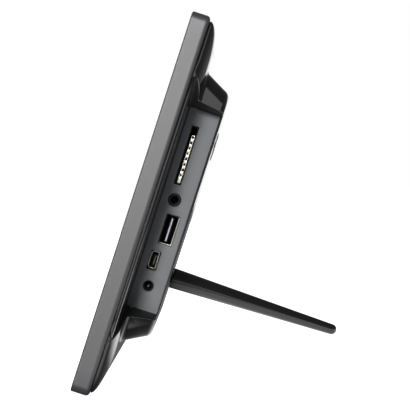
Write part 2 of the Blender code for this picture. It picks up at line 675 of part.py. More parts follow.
def make_chassis():
    half_width = GLASS_WIDTH / 2 - 6 * MM
    half_height = GLASS_HEIGHT / 2 - 4 * MM
    low = (-half_width, CHASSIS_FRONT, MIDDLE - half_height)
    high = (half_width, CHASSIS_BACK, MIDDLE + half_height)
    chassis = box("chassis_plate", low, high, "steel_sheet")
    for number, place in enumerate(board_screw_places(), 1):
        standoff = rod(f"standoff_{number}", STANDOFF_RADIUS, CHASSIS_BACK - 0.4 * MM, BOARD_FRONT - CLEARANCE, place,
                       sides=12)
        combine(chassis, standoff, "UNION")
        thread = rod(f"thread_{number}", 0.8 * MM + CLEARANCE / 2, CHASSIS_BACK + 0.4 * MM, BOARD_FRONT + 1 * MM,
                     place, sides=8)
        combine(chassis, thread)
        head = BOARD_BACK + CLEARANCE
        profile = ((0.0, head + 1.1 * MM), (1.7 * MM, head + 0.8 * MM), (1.7 * MM, head), (0.7 * MM, head),
                   (0.7 * MM, CHASSIS_BACK + 0.8 * MM), (0.0, CHASSIS_BACK + 0.8 * MM))
        turned(f"board_screw_{number}", profile, (place[0], 0.0, place[1]), "steel_sheet", 12)


def make_main_board():
    left, right = board_edges()
    low = (left, BOARD_FRONT, RECESS_Z - BOARD_HEIGHT / 2)
    high = (right, BOARD_BACK, RECESS_Z + BOARD_HEIGHT / 2)
    board = box("main_board", low, high, "board_green")
    for number, place in enumerate(board_screw_places(), 1):
        hole = rod(f"board_hole_{number}", 1.1 * MM, BOARD_FRONT - 1 * MM, BOARD_BACK + 1 * MM, place, sides=10)
        combine(board, hole)
    floor = BOARD_BACK + CLEARANCE
    chips = (
        ("processor", 14, 2, 14, 1.2),
        ("memory_chip", 12, 20, 9, 1.0),
        ("flash_chip", 20, -14, 12, 1.0),
    )
    for name, x, raised, side, height in chips:
        centre = (left + x * MM, RECESS_Z + raised * MM)
        half = side / 2 * MM
        box(name, (centre[0] - half, floor, centre[1] - half), (centre[0] + half, floor + height * MM, centre[1] + half),
            "black_plastic", bevel=0.15 * MM)
    coil = (left + 36 * MM, RECESS_Z - 26 * MM)
    box("power_inductor", (coil[0] - 3 * MM, floor, coil[1] - 3 * MM), (coil[0] + 3 * MM, floor + 2.6 * MM,
        coil[1] + 3 * MM), "rubber", bevel=0.5 * MM)
    for number, raised in ((1, -37), (2, -28)):
        rod(f"capacitor_{number}", 2.5 * MM, floor, floor + 4.6 * MM, (left + 26 * MM, RECESS_Z + raised * MM),
            "nickel", sides=16)


def make_display_link():
    """The display's driver board, and the flat cable that rises from it to the main board."""
    left, _ = board_edges()
    front = CHASSIS_BACK + CLEARANCE
    back = front + 1 * MM
    edge = left - 8 * MM
    z = RECESS_Z + 20 * MM
    box("driver_board", (edge - 40 * MM, front, z - 14 * MM), (edge, back, z + 14 * MM), "board_green")
    start = (edge - 5 * MM, back + CLEARANCE)
    end = (left + 4 * MM, BOARD_BACK + CLEARANCE)
    lower = []
    upper = []
    for step in range(9):
        t = step / 8
        ease = t * t * (3 - 2 * t)
        x = start[0] + (end[0] - start[0]) * t
        y = start[1] + (end[1] - start[1]) * min(1.0, 1.6 * ease)
        lower.append((x, y))
        upper.append((x, y + 0.25 * MM))
    shape = bmesh.new()
    points = [shape.verts.new((x, y, z - 8 * MM)) for x, y in lower + upper[::-1]]
    swept = bmesh.ops.extrude_face_region(shape, geom=[shape.faces.new(points)])
    moved = [item for item in swept["geom"] if isinstance(item, bmesh.types.BMVert)]
    bmesh.ops.translate(shape, verts=moved, vec=(0, 0, 16 * MM))
    finish_mesh("display_cable", shape, "flex_film")


# ---- Keys ----


def key_top():
    return COVER_DEPTH + REAR_DOME + COVER_WEDGE * (KEYS_Z - MIDDLE) + KEY_PROUD


def flange_back():
    return COVER_INSIDE - CLEARANCE


def stem_front():
    return flange_back() - FLANGE_THICKNESS - CLEARANCE


def make_key(name, outline, flange, place):
    """A key cap through the cover, with a flange under the cover's wall and a stem to its switch."""
    key = prism(name, outline, flange_back() - 0.1 * MM, key_top(), "gloss_black")
    rim = prism(f"{name}_flange", flange, flange_back() - FLANGE_THICKNESS, flange_back())
    combine(key, rim, "UNION")
    stem = rod(f"{name}_stem", 0.9 * MM, stem_front(), flange_back() - 0.2 * MM, place, sides=10)
    combine(key, stem, "UNION")
    top = stem_front() - KEY_TRAVEL - 0.1 * MM
    low = (place[0] - SWITCH_SIDE / 2, top - 0.5 * MM - SWITCH_HEIGHT, place[1] - SWITCH_SIDE / 2)
    high = (place[0] + SWITCH_SIDE / 2, top - 0.5 * MM, place[1] + SWITCH_SIDE / 2)
    switch = box(f"switch_{name.removeprefix('key_')}", low, high, "steel_sheet")
    combine(switch, rod(f"{name}_actuator", 0.8 * MM, top - 1 * MM, top, place, sides=10), "UNION")
    return low[1]


def sector(inner, outer, middle, spread, steps=6):
    """A piece of a ring round the key pad's centre, with parallel gaps to its neighbours."""
    points = []
    for radius, order in ((outer, 1), (inner, -1)):
        half = math.radians(45) - math.asin(spread / radius)
        for step in range(steps + 1):
            angle = math.radians(middle) + order * half * (2 * step / steps - 1)
            points.append((radius * math.cos(angle), KEYS_Z + radius * math.sin(angle)))
    return points


def disc(radius, x, z, sides=20):
    turn = 2 * math.pi / sides
    return [(x + radius * math.cos(i * turn), z + radius * math.sin(i * turn)) for i in range(sides)]


def make_keys():
    gap = 0.3 * MM
    ring_middle = (KEY_RING_INNER + KEY_RING_OUTER) / 2
    floor = make_key("key_ok", disc(KEY_OK_RADIUS, 0, KEYS_Z), disc(KEY_OK_RADIUS + 0.2 * MM, 0, KEYS_Z), (0, KEYS_Z))
    for name, middle in (("right", 0), ("up", 90), ("left", 180), ("down", 270)):
        outline = sector(KEY_RING_INNER, KEY_RING_OUTER, middle, gap)
        flange = sector(KEY_RING_INNER + 0.2 * MM, KEY_RING_OUTER + KEY_FLANGE, middle, gap + 0.1 * MM)
        angle = math.radians(middle)
        place = (ring_middle * math.cos(angle), KEYS_Z + ring_middle * math.sin(angle))
        make_key(f"key_{name}", outline, flange, place)
    for side, name in ((-1, "menu"), (1, "power")):
        x = side * KEY_SIDE_OFFSET
        outline = oblong(x, KEYS_Z, KEY_SIDE_LENGTH, KEY_SIDE_HEIGHT)
        flange = oblong(x, KEYS_Z, KEY_SIDE_LENGTH, KEY_SIDE_HEIGHT, KEY_FLANGE)
        make_key(f"key_{name}", outline, flange, (x, KEYS_Z))
    back = floor - CLEARANCE
    half = KEY_SIDE_OFFSET + 7 * MM
    box("key_board", (-half, back - 1 * MM, KEYS_Z - 9 * MM), (half, back, KEYS_Z + 9 * MM), "board_green")


# ---- Speakers, screws and leg ----


def make_speakers():
    rear = COVER_INSIDE - CLEARANCE - 0.2 * MM
    for side, name in ((-1, "left"), (1, "right")):
        front = rear - SPEAKER_DEPTH
        profile = (
            (0.0, rear - 1.6 * MM), (3.0 * MM, rear - 1.6 * MM), (SPEAKER_RADIUS - 2.2 * MM, rear - 0.5 * MM),
            (SPEAKER_RADIUS - 1.5 * MM, rear), (SPEAKER_RADIUS, rear), (SPEAKER_RADIUS, rear - 1.0 * MM),
            (SPEAKER_RADIUS - 4 * MM, rear - 2.6 * MM), (SPEAKER_RADIUS - 4 * MM, front), (0.0, front),
        )
        turned(f"speaker_{name}", profile, (side * SPEAKER_OFFSET, 0.0, LEG_HEIGHT), "black_plastic", 24)


def make_case_screws():
    seat = SEAM + 1.1 * MM + CLEARANCE
    for number, (x, z) in enumerate(screw_places(), 1):
        profile = (
            (0.0, seat + 1.3 * MM), (SCREW_HEAD - 0.4 * MM, seat + 1.2 * MM), (SCREW_HEAD, seat + 0.7 * MM),
            (SCREW_HEAD, seat), (SCREW_SHANK, seat), (SCREW_SHANK, BEZEL_FACE + 1.8 * MM),
            (0.0, BEZEL_FACE + 1.4 * MM),
        )
        turned(f"case_screw_{number}", profile, (x, 0.0, z), "steel_sheet", 16)


def washer_front():
    return COVER_DEPTH - 1.0 * MM


def insert_front():
    return washer_front() - CLEARANCE - INSERT_LENGTH


def leg_root():
    return washer_front() + WASHER_THICKNESS + CLEARANCE + 0.2 * MM


def make_leg():
    inner = STUD_RADIUS + CLEARANCE
    tube("leg_insert", inner, inner + INSERT_WALL, insert_front(), insert_front() + INSERT_LENGTH - CLEARANCE, "brass")
    tube("leg_washer", inner, inner + WASHER_WALL, washer_front(), washer_front() + WASHER_THICKNESS, "rubber")
    profile = []
    for step in range(6):
        angle = math.radians(90 - 18 * step)
        profile.append((LEG_TIP_RADIUS * math.cos(angle), LEG_LENGTH - LEG_TIP_RADIUS * (1 - math.sin(angle))))
    profile[0] = (0.0, LEG_LENGTH)
    profile += [
        (LEG_ROOT_RADIUS, 0.6 * MM), (LEG_ROOT_RADIUS - 0.4 * MM, 0.0), (STUD_RADIUS, 0.0),
        (STUD_RADIUS, 0.6 * MM - STUD_LENGTH), (STUD_RADIUS - 0.6 * MM, -STUD_LENGTH), (0.0, -STUD_LENGTH),
    ]
    turned("stand_leg", profile, (0.0, leg_root(), LEG_HEIGHT), "gloss_black", 24)


def tube(name, inner, outer, front, back, finish):
    """A plain ring on the leg's axis."""
    profile = ((inner, front), (inner, back), (outer, back), (outer, front), (inner, front))
    turned(name, profile, (0.0, 0.0, LEG_HEIGHT), finish, 24)


def lean_back():
    """Turns and sets down the frame so that its lower rear edge and the leg's tip stand on z = 0."""
    edge = (BEZEL_DEPTH - REAR_ROUND, REAR_ROUND)
    tip = (leg_root() + LEG_LENGTH - LEG_TIP_RADIUS, LEG_HEIGHT)
    run = tip[0] - edge[0]
    rise = tip[1] - edge[1]
    lean = math.atan2(rise, run) + math.asin((REAR_ROUND - LEG_TIP_RADIUS) / math.hypot(run, rise))
    floor = edge[1] * math.cos(lean) - edge[0] * math.sin(lean) - REAR_ROUND
    front = FRONT_ROUND * (math.sin(lean) + math.cos(lean) - 1)
    back = tip[0] * math.cos(lean) + tip[1] * math.sin(lean) + LEG_TIP_RADIUS
    LEAN.rotation_euler = (-lean, 0.0, 0.0)
    LEAN.location = (0.0, -(front + back) / 2, -floor)


clear_scene()
MATERIALS = make_materials()
PARTS = make_collection("digital_photo_frame")
CUTTERS = make_collection("cutters")
LEAN = bpy.data.objects.new("lean", None)
PARTS.objects.link(LEAN)
make_bezel()
make_display()
make_cover()
make_port_panel()
make_sd_socket()
make_usb_socket()
make_mini_socket()
make_phone_jack()
make_dc_jack()
make_chassis()
make_main_board()
make_display_link()
make_keys()
make_speakers()
make_case_screws()
make_leg()
lean_back()
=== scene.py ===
"""Looks of a digital photo frame of the 8-inch class, standing on its screw-in leg.

Sizes are in millimetres in the upright frame: x across the frame, d from the front face to the rear and
h up from the lower edge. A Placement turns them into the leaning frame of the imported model, in metres.
"""

from __future__ import annotations

import json
import logging
import math
from dataclasses import dataclass, field
from enum import Enum

import bpy
import numpy as np
from mathutils import Matrix, Vector
from mathutils.geometry import delaunay_2d_cdt

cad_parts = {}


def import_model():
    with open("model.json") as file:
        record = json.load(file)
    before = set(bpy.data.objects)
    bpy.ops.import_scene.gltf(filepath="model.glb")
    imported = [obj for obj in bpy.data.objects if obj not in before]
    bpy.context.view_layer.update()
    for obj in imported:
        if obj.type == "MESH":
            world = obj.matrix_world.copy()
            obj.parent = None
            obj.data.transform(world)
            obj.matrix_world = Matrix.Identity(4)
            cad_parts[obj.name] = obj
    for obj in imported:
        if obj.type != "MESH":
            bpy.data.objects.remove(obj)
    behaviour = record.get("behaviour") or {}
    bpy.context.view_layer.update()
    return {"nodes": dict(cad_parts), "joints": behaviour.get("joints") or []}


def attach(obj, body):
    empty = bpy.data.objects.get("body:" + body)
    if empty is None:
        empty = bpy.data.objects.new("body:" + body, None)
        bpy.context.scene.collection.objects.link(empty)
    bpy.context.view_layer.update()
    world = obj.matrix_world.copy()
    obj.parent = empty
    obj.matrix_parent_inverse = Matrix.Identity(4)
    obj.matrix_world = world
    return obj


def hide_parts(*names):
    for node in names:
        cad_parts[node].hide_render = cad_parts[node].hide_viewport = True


LOG = logging.getLogger("photo_frame")

WIDTH = 206.0
HEIGHT = 165.0
LEG_DEPTH = 25.0  # where the leg's shoulder meets its washer
LEG_HEIGHT = 51.8
KEYS_HEIGHT = 118.3
SIDE_KEY_X = 18.0
SCREW_X = 60.0
SCREW_HEIGHTS = (9.5, 155.5)

WALL_BAND = 0.01  # plan width of a wall that stands square to a sheet
RECESS_BAND = 0.05  # plan width of the port recess's walls
GUARD = 0.4  # width of the flat kept beside a rounded edge, so that the edge alone is shaded round


# ---- Placing and meshes ----


class Axis(Enum):
    """The upright direction that a sheet's height is measured along."""

    ACROSS = "across"
    REARWARD = "rearward"


@dataclass(frozen=True)
class Placement:
    """The lean of the frame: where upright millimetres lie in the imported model's metres."""

    origin: tuple[float, float, float]
    rearward: tuple[float, float, float]
    upward: tuple[float, float, float]

    @classmethod
    def from_joints(cls, joints: list[dict]) -> Placement:
        """Read the lean from the joint that the leg turns on, which lies at LEG_DEPTH and LEG_HEIGHT.

        Args:
            joints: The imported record's joints.

        Returns:
            The placement whose rearward direction is the joint's axis.
        """
        turn = next(joint for joint in joints if joint["name"] == "leg_turn")
        rearward = Vector(turn["axis"]).normalized()
        upward = Vector((1.0, 0.0, 0.0)).cross(rearward)
        corner = Vector(turn["pos_m"]) - rearward * LEG_DEPTH / 1000 - upward * LEG_HEIGHT / 1000
        return cls(tuple(corner), tuple(rearward), tuple(upward))

    def points(self, upright: np.ndarray) -> np.ndarray:
        """Turn upright points into model points: origin + x, d and h along their three directions.

        Args:
            upright: Points of (x, d, h) in millimetres, one a row.

        Returns:
            The same points in metres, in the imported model's frame.
        """
        basis = np.array([(1.0, 0.0, 0.0), self.rearward, self.upward])
        return np.asarray(self.origin) + np.asarray(upright, float) @ basis / 1000

    def point(self, x: float, depth: float, height: float) -> Vector:
        """One upright point in the model's frame."""
        return Vector(self.points(np.array([[x, depth, height]]))[0])

    def direction(self, x: float, depth: float, height: float) -> Vector:
        """An upright direction in the model's frame, of length one."""
        level = Vector((x, 0.0, 0.0)) + Vector(self.rearward) * depth
        return (level + Vector(self.upward) * height).normalized()


def grid_faces(rows: int, columns: int, closed_rows: bool, closed_columns: bool) -> np.ndarray:
    """Quads of a grid whose point (r, c) has number r * columns + c.

    Args:
        rows: Number of rows.
        columns: Number of columns.
        closed_rows: Whether the last row joins the first.
        closed_columns: Whether the last column joins the first.

    Returns:
        One row of four point numbers for each quad.
    """
    row = np.arange(rows if closed_rows else rows - 1)[:, None]
    column = np.arange(columns if closed_columns else columns - 1)[None, :]
    next_row = (row + 1) % rows
    next_column = (column + 1) % columns
    corners = (row * columns + column, row * columns + next_column,
               next_row * columns + next_column, next_row * columns + column)
    return np.stack(np.broadcast_arrays(*corners), -1).reshape(-1, 4)


def facing_out(points: np.ndarray, faces: list) -> list:
    """Turn a closed skin round if its volume, the sum over its triangles of a . (b x c) / 6, is below zero.

    Args:
        points: The skin's points.
        faces: Lists of point numbers.

    Returns:
        The faces, all pointing outwards.
    """
    total = 0.0
    by_size: dict[int, list] = {}
    for face in faces:
        by_size.setdefault(len(face), []).append(face)
    for size, group in by_size.items():
        corners = points[np.array(group)]
        for second in range(1, size - 1):
            crossed = np.cross(corners[:, second], corners[:, second + 1])
            total += float(np.einsum("ij,ij->i", corners[:, 0], crossed).sum()) / 6
    return [face[::-1] for face in faces] if total < 0 else faces


def add_mesh(name: str, points: np.ndarray, faces: list, finish: Finish, sharp: float) -> bpy.types.Object:
    """Make a smooth-shaded mesh object of points already in the model's frame.

    Args:
        name: The piece's name.
        points: Points in metres.
        faces: Lists of point numbers.
        finish: The finish it wears.
        sharp: Angle in degrees past which an edge stays sharp.

    Returns:
        The new object, at the origin.
    """
    mesh = bpy.data.meshes.new(name)
    mesh.from_pydata(points.tolist(), [], [list(map(int, face)) for face in faces])
    mesh.validate()
    mesh.shade_smooth()
    mesh.set_sharp_from_angle(angle=math.radians(sharp))
    mesh.materials.append(finish.material())
    thing = bpy.data.objects.new(name, mesh)
    bpy.context.scene.collection.objects.link(thing)
    return thing


def settle(thing: bpy.types.Object, body: str, nodes: list[str]) -> bpy.types.Object:
    """Let a finished piece ride on its body and stand for its nodes.

    Args:
        thing: The piece.
        body: Name of the body that carries it.
        nodes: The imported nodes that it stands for.

    Returns:
        The same piece.
    """
    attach(thing, body)
    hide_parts(*nodes)
    LOG.info("%s: %d faces, rides on %s", thing.name, len(thing.data.polygons), body)
    return thing


# ---- Finishes ----


def linear(colour: str) -> tuple[float, float, float, float]:
    """A hex colour as linear light: each channel is ((c + 0.055) / 1.055) ** 2.4, or c / 12.92 near black."""
    channels = [int(colour[place:place + 2], 16) / 255 for place in (1, 3, 5)]
    return (*(c / 12.92 if c <= 0.04045 else ((c + 0.055) / 1.055) ** 2.4 for c in channels), 1.0)


def add_node(tree: bpy.types.NodeTree, kind: str, inputs: dict | None = None,
             **settings: object) -> bpy.types.Node:
    """Add a shader node, set its properties, and set or link its inputs.

    Args:
        tree: The node tree.
        kind: The node's type.
        inputs: Values or output sockets, by input name or number.
        settings: Properties of the node.

    Returns:
        The new node.
    """
    node = tree.nodes.new(kind)
    for key, value in settings.items():
        setattr(node, key, value)
    for key, value in (inputs or {}).items():
        if isinstance(value, bpy.types.NodeSocket):
            tree.links.new(value, node.inputs[key])
        else:
            node.inputs[key].default_value = value
    return node


MIX_FIRST, MIX_SECOND, MIX_RESULT = 6, 7, 2  # a Mix node's colour sockets
COAT_ROUGHNESS = 0.06


@dataclass(frozen=True)
class Finish:
    """A surface whose colour drifts a little and whose gloss is broken up by a fine grain, in millimetres."""

    name: str
    colour: str
    second: str
    roughness: float
    spread: float = 0.03  # how far roughness drifts either way
    metallic: float = 0.0
    grain: float = 1.11  # width of a grain
    depth: float = 0.004  # height of a grain
    coat: float = 0.0
    blotch: float = 16.7  # width of a drift in colour
    stretch: tuple[float, float, float] = (1.0, 1.0, 1.0)
    specular: float = 0.5

    def material(self) -> bpy.types.Material:
        """The material of this finish, made once."""
        made = bpy.data.materials.get(self.name)
        return made if made else self.build()

    def build(self) -> bpy.types.Material:
        """Two noises on object coordinates: a broad one drifts the colour, a fine one the gloss and the bump.

        Returns:
            The new material.
        """
        material = bpy.data.materials.new(self.name)
        material.use_nodes = True
        tree = material.node_tree
        tree.nodes.clear()
        place = add_node(tree, "ShaderNodeTexCoord").outputs["Object"]
        mapped = add_node(tree, "ShaderNodeMapping", {"Vector": place, "Scale": self.stretch}).outputs[0]
        broad, fine = (add_node(tree, "ShaderNodeTexNoise", {
            "Vector": mapped, "Scale": 1000 / width, "Detail": detail}).outputs["Fac"]
            for width, detail in ((self.blotch, 3.0), (self.grain, 2.0)))
        tint = add_node(tree, "ShaderNodeMix", {
            0: broad, MIX_FIRST: linear(self.colour), MIX_SECOND: linear(self.second)}, data_type="RGBA")
        gloss = add_node(tree, "ShaderNodeMapRange", {
            "Value": fine, "To Min": self.roughness - self.spread, "To Max": self.roughness + self.spread})
        bump = add_node(tree, "ShaderNodeBump", {
            "Strength": 1.0, "Distance": self.depth / 1000, "Height": fine})
        shader = add_node(tree, "ShaderNodeBsdfPrincipled", {
            "Base Color": tint.outputs[MIX_RESULT], "Roughness": gloss.outputs["Result"],
            "Metallic": self.metallic, "Specular IOR Level": self.specular, "Coat Weight": self.coat,
            "Coat Roughness": COAT_ROUGHNESS, "Normal": bump.outputs["Normal"]})
        add_node(tree, "ShaderNodeOutputMaterial", {"Surface": shader.outputs["BSDF"]})
        return material


# The eroded and painted grains below are really a few hundredths of a millimetre wide, which is too fine to
# show, and are drawn about ten times as wide.

# Injection-moulded ABS from a polished mould, on the rear cover, leg and keys: deep black, clear reflections
GLOSS_BLACK = Finish("gloss_black_abs", "#0b0b0c", "#0d0d0e", 0.07, 0.01, grain=1.43, depth=0.0006)
# ABS from a spark-eroded mould, on the recess's walls: a dull black beside the polished one
TEXTURED_BLACK = Finish("textured_black_abs", "#0c0c0c", "#101011", 0.6, 0.06, grain=0.5, depth=0.008,
                        specular=0.2)
# Sprayed soft-touch paint on the bezel: dark grey with a broad, soft sheen
SATIN_PAINT = Finish("satin_black_paint", "#2b2b2d", "#303032", 0.46, 0.05, grain=0.385, depth=0.008)
# ABS from a finely eroded mould, on the port panel: an even matt grey
PORT_PLASTIC = Finish("port_panel_abs", "#484a4c", "#4e4f52", 0.62, 0.05, grain=0.455, depth=0.012)
# Glass printed black from behind, round the picture: flat, with sharp reflections
DISPLAY_GLASS = Finish("display_glass", "#08090b", "#0a0b0d", 0.05, 0.01, grain=3.33, depth=0.0, coat=0.6)
# Cut and polished acrylic of the light guide: pale and smooth
CLEAR_ACRYLIC = Finish("light_guide_acrylic", "#dfe4e6", "#e8ecee", 0.12, 0.02, depth=0.0)
# Rolled polyester diffuser film and the LED strip's carrier: milky white, no gloss
WHITE_FILM = Finish("white_diffuser_film", "#e6e6e2", "#efefec", 0.55, 0.04)
# Cold-rolled steel of the tray, rim, plate and screws: bright, its grain drawn out across the frame
STEEL_SHEET = Finish("rolled_steel", "#a9a9a6", "#b8b8b5", 0.3, 0.08, 1.0, grain=0.83,
                     stretch=(1.0, 8.0, 8.0))
# Nickel-plated pressed steel of the sockets' shells: a warm, slightly dulled metal
NICKEL_PLATE = Finish("nickel_plate", "#8f8b82", "#a5a197", 0.34, 0.06, 1.0, grain=0.5)
# Tin plate on the card slot's contacts: paler than the nickel. On the shells' lips it is a painted highlight
# along the rim
TIN_PLATE_AND_HIGHLIGHT = Finish("tin_plate_and_painted_highlight", "#b3aea0", "#c6c1b3", 0.38, 0.06, 1.0, grain=0.667)
# Moulded nylon of the jacks: black that swallows light. Inside the sockets' shells and on their unlit lips
# the same black is a painted shade
BLACK_NYLON_AND_SHADE = Finish("black_nylon_and_painted_shade", "#0d0d0d", "#121212", 0.62, 0.05, grain=0.555, depth=0.006, specular=0.2)
# Pale grey on the ends of the sockets' tongues, whose bodies are black: a painted highlight, the soft pale
# line where light catches each end
TONGUE_END_HIGHLIGHT = Finish("tongue_end_painted_highlight", "#8d9093", "#a0a3a6", 0.5, 0.05, grain=0.555, depth=0.006)
# Matt polariser film over the unlit picture: nearly black, its reflections blurred
LCD_DARK = Finish("unlit_lcd", "#14161a", "#171a1f", 0.22, 0.03, grain=0.625, depth=0.0005, coat=0.4)
# Printed solder mask of the boards: glossy green, mottled in tint
SOLDER_MASK = Finish("green_solder_mask", "#0f4a24", "#155c2e", 0.38, 0.08, grain=1.43, blotch=4.17, coat=0.3)
# Laminated polyimide of the flat cable: amber, faintly streaked
POLYIMIDE = Finish("polyimide_film", "#b8751f", "#c98a2e", 0.35, 0.06, stretch=(1.0, 12.0, 1.0))
# Turned brass of the thread insert: yellow and bright
TURNED_BRASS = Finish("turned_brass", "#b8923f", "#cba64f", 0.26, 0.07, 1.0, grain=0.667)
# Die-cut neoprene of the washer: charcoal without gloss
NEOPRENE = Finish("neoprene", "#151515", "#1b1b1b", 0.78, 0.06, grain=0.625, depth=0.02)
# Transfer-moulded epoxy of the chips and the coil: black with a fine sand to it
CHIP_EPOXY = Finish("chip_epoxy", "#161617", "#1c1c1d", 0.5, 0.08, grain=0.417, depth=0.01)

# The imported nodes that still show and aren't steel
NODE_FINISHES: dict[Finish, tuple[str, ...]] = {
    WHITE_FILM: ("diffuser_film", "led_bar"),
    CLEAR_ACRYLIC: ("light_guide",),
    SOLDER_MASK: ("main_board", "driver_board", "key_board"),
    CHIP_EPOXY: ("processor", "memory_chip", "flash_chip", "power_inductor"),
    POLYIMIDE: ("display_cable",),
    TURNED_BRASS: ("leg_insert",),
    BLACK_NYLON_AND_SHADE: ("dc_jack", "speaker_left", "speaker_right"),
}


# ---- Plans, outlines and pierced sheets ----


def rounded_rings(sections: np.ndarray, corner_steps: int, edge_steps: int,
                  radii: np.ndarray | None = None) -> np.ndarray:
    """Rounded rectangles as closed rings of points, corner arcs first and then the straight edge after each.

    Args:
        sections: Rows of (half width, half height, radius, centre height, ...).
        corner_steps: Points along each corner arc.
        edge_steps: Points between two arcs.
        radii: A row of four corner radii for each section, where the corners differ.

    Returns:
        An array of (sections, points, 2).
    """
    half_width, half_height, radius, centre = (sections[:, k][:, None, None] for k in range(4))
    radius = radius if radii is None else radii[:, :, None]
    sign_x = np.array([1, -1, -1, 1])[None, :, None]
    sign_z = np.array([1, 1, -1, -1])[None, :, None]
    start = np.radians([0, 90, 180, 270])[None, :, None]
    angle = start + np.linspace(0, np.pi / 2, corner_steps)[None, None, :]
    x = sign_x * (half_width - radius) + radius * np.cos(angle)
    z = centre + sign_z * (half_height - radius) + radius * np.sin(angle)
    arcs = np.stack([x, z], -1)
    after = np.roll(arcs[:, :, 0], -1, axis=1)
    share = (np.arange(1, edge_steps + 1) / (edge_steps + 1))[None, None, :, None]
    edges = arcs[:, :, -1][:, :, None] * (1 - share) + after[:, :, None] * share
    return np.concatenate([arcs, edges], 2).reshape(len(sections), -1, 2)


def rounded_distance(plan: np.ndarray, section: np.ndarray) -> np.ndarray:
    """Distance outside a rounded rectangle: the length of the corner overshoot, less the radius.

    Args:
        plan: Points of (x, h).
        section: Rows of (half width, half height, radius, centre height, ...), broadcast against the points.

    Returns:
        One distance for each point and section, below zero inside.
    """
    over_x = np.abs(plan[:, 0])[:, None] - (section[:, 0] - section[:, 2])[None]
    over_z = np.abs(plan[:, 1][:, None] - section[:, 3][None]) - (section[:, 1] - section[:, 2])[None]
    outside = np.hypot(np.maximum(over_x, 0), np.maximum(over_z, 0))
    return outside + np.minimum(np.maximum(over_x, over_z), 0) - section[:, 2][None]


@dataclass(frozen=True)
class Opening:
    """A hole with half-round ends, or a round one where its length is its height, in a sheet's plan."""

    u: float
    v: float
    length: float
    height: float
    along_u: bool = True
    lip: float = 0.25
    depth: float = 1.4
    floor: float | None = None  # height of a blind floor
    bore: float = 0.0  # radius of the hole through that floor
    corner: float | None = None  # radius of the corners, half the height where it is not given
    sides: int = 40
    flat: float = 0.35  # kept beside the lip, so that the lip alone is shaded round

    @property
    def radius(self) -> float:
        """The corner radius."""
        return min(self.length, self.height) / 2 if self.corner is None else self.corner

    def halves(self) -> tuple[float, float]:
        """Half sizes along the plan's two directions."""
        size = (self.length / 2, self.height / 2)
        return size if self.along_u else size[::-1]

    def distance(self, plan: np.ndarray) -> np.ndarray:
        """Distance outside the rim.

        Args:
            plan: Points of (u, v).

        Returns:
            One distance for each point, below zero within the hole.
        """
        half_u, half_v = self.halves()
        section = np.array([[half_u, half_v, self.radius, 0.0]])
        return rounded_distance(plan - np.array([self.u, self.v]), section)[:, 0]

    def ring(self, grow: float) -> np.ndarray:
        """The rim as a closed ring of plan points.

        Args:
            grow: How far it is moved outwards.

        Returns:
            Points of (u, v).
        """
        half_u, half_v = self.halves()
        least = 0.01
        section = np.array([[half_u + grow, half_v + grow, max(self.radius + grow, least), 0.0]])
        edge_steps = 0 if max(half_u, half_v) - self.radius < least else 3
        return rounded_rings(section, self.sides // 4 + 1, edge_steps)[0] + np.array([self.u, self.v])

    def steps(self) -> list[float]:
        """Offsets of the rings that carry the lip, the wall and a guard outside them."""
        turn = np.radians([0.0, 22.5, 45.0, 67.5, 90.0])
        return [*(self.lip * (1 - np.cos(turn))), self.lip + self.flat, -WALL_BAND]


def lip_drop(distance: np.ndarray, radius: float) -> np.ndarray:
    """How far a rounded lip falls: its radius less the height of a quarter circle at that distance."""
    inward = np.clip(radius - distance, 0.0, radius)
    return radius - np.sqrt(radius * radius - inward * inward)


class PlanNet:
    """Points and held lines in a plan, made into triangles with every line kept as edges."""

    def __init__(self) -> None:
        """Start with nothing in the plan."""
        self.points: list[np.ndarray] = []
        self.edges: list[np.ndarray] = []
        self.count = 0

    def add_points(self, points: np.ndarray) -> None:
        """Add loose points."""
        self.points.append(points)
        self.count += len(points)

    def add_line(self, points: np.ndarray, closed: bool, kept: np.ndarray | None = None) -> None:
        """Add a line whose stretches between kept points are held.

        Args:
            points: The line's points in order.
            closed: Whether its last point joins its first.
            kept: Which points to keep, all of them where it is not given.
        """
        kept = np.ones(len(points), bool) if kept is None else kept
        number = np.cumsum(kept) - 1 + self.count
        after = np.roll(np.arange(len(points)), -1)
        held = kept & kept[after]
        if not closed:
            held[-1] = False
        pairs = np.stack([number, number[after]], 1)[held]
        self.add_points(points[kept])
        self.edges.append(pairs)

    def triangles(self) -> tuple[np.ndarray, np.ndarray]:
        """The constrained Delaunay triangles of all that was added.

        Returns:
            The plan points, and rows of three point numbers.
        """
        points = [Vector(point) for point in np.concatenate(self.points).tolist()]
        edges = np.concatenate(self.edges).tolist()
        found = delaunay_2d_cdt(points, edges, [], 0, 1e-7, False)
        plan = np.array([tuple(point) for point in found[0]])
        return plan, np.array([face for face in found[2] if len(face) == 3])


def open_sheet(plan: np.ndarray, heights: np.ndarray, faces: np.ndarray,
               axis: Axis) -> tuple[np.ndarray, np.ndarray]:
    """Lift plan triangles to their heights, dropping points that no triangle uses.

    Args:
        plan: Plan points: (x, h) for a rearward sheet, (d, h) for one that faces across.
        heights: The height of each along the axis.
        faces: Rows of three point numbers.
        axis: What the heights are measured along.

    Returns:
        Upright points and the faces, turned to face along the axis.
    """
    used = np.unique(faces)
    renumber = np.full(len(plan), -1)
    renumber[used] = np.arange(len(used))
    plan, heights, faces = plan[used], heights[used], renumber[faces]
    column = 1 if axis is Axis.REARWARD else 0
    upright = np.insert(plan, column, heights, 1)
    corners = upright[faces]
    normal = np.cross(corners[:, 1] - corners[:, 0], corners[:, 2] - corners[:, 0])
    wrong = normal[:, column] < 0
    faces[wrong] = faces[wrong][:, ::-1]
    return upright, faces


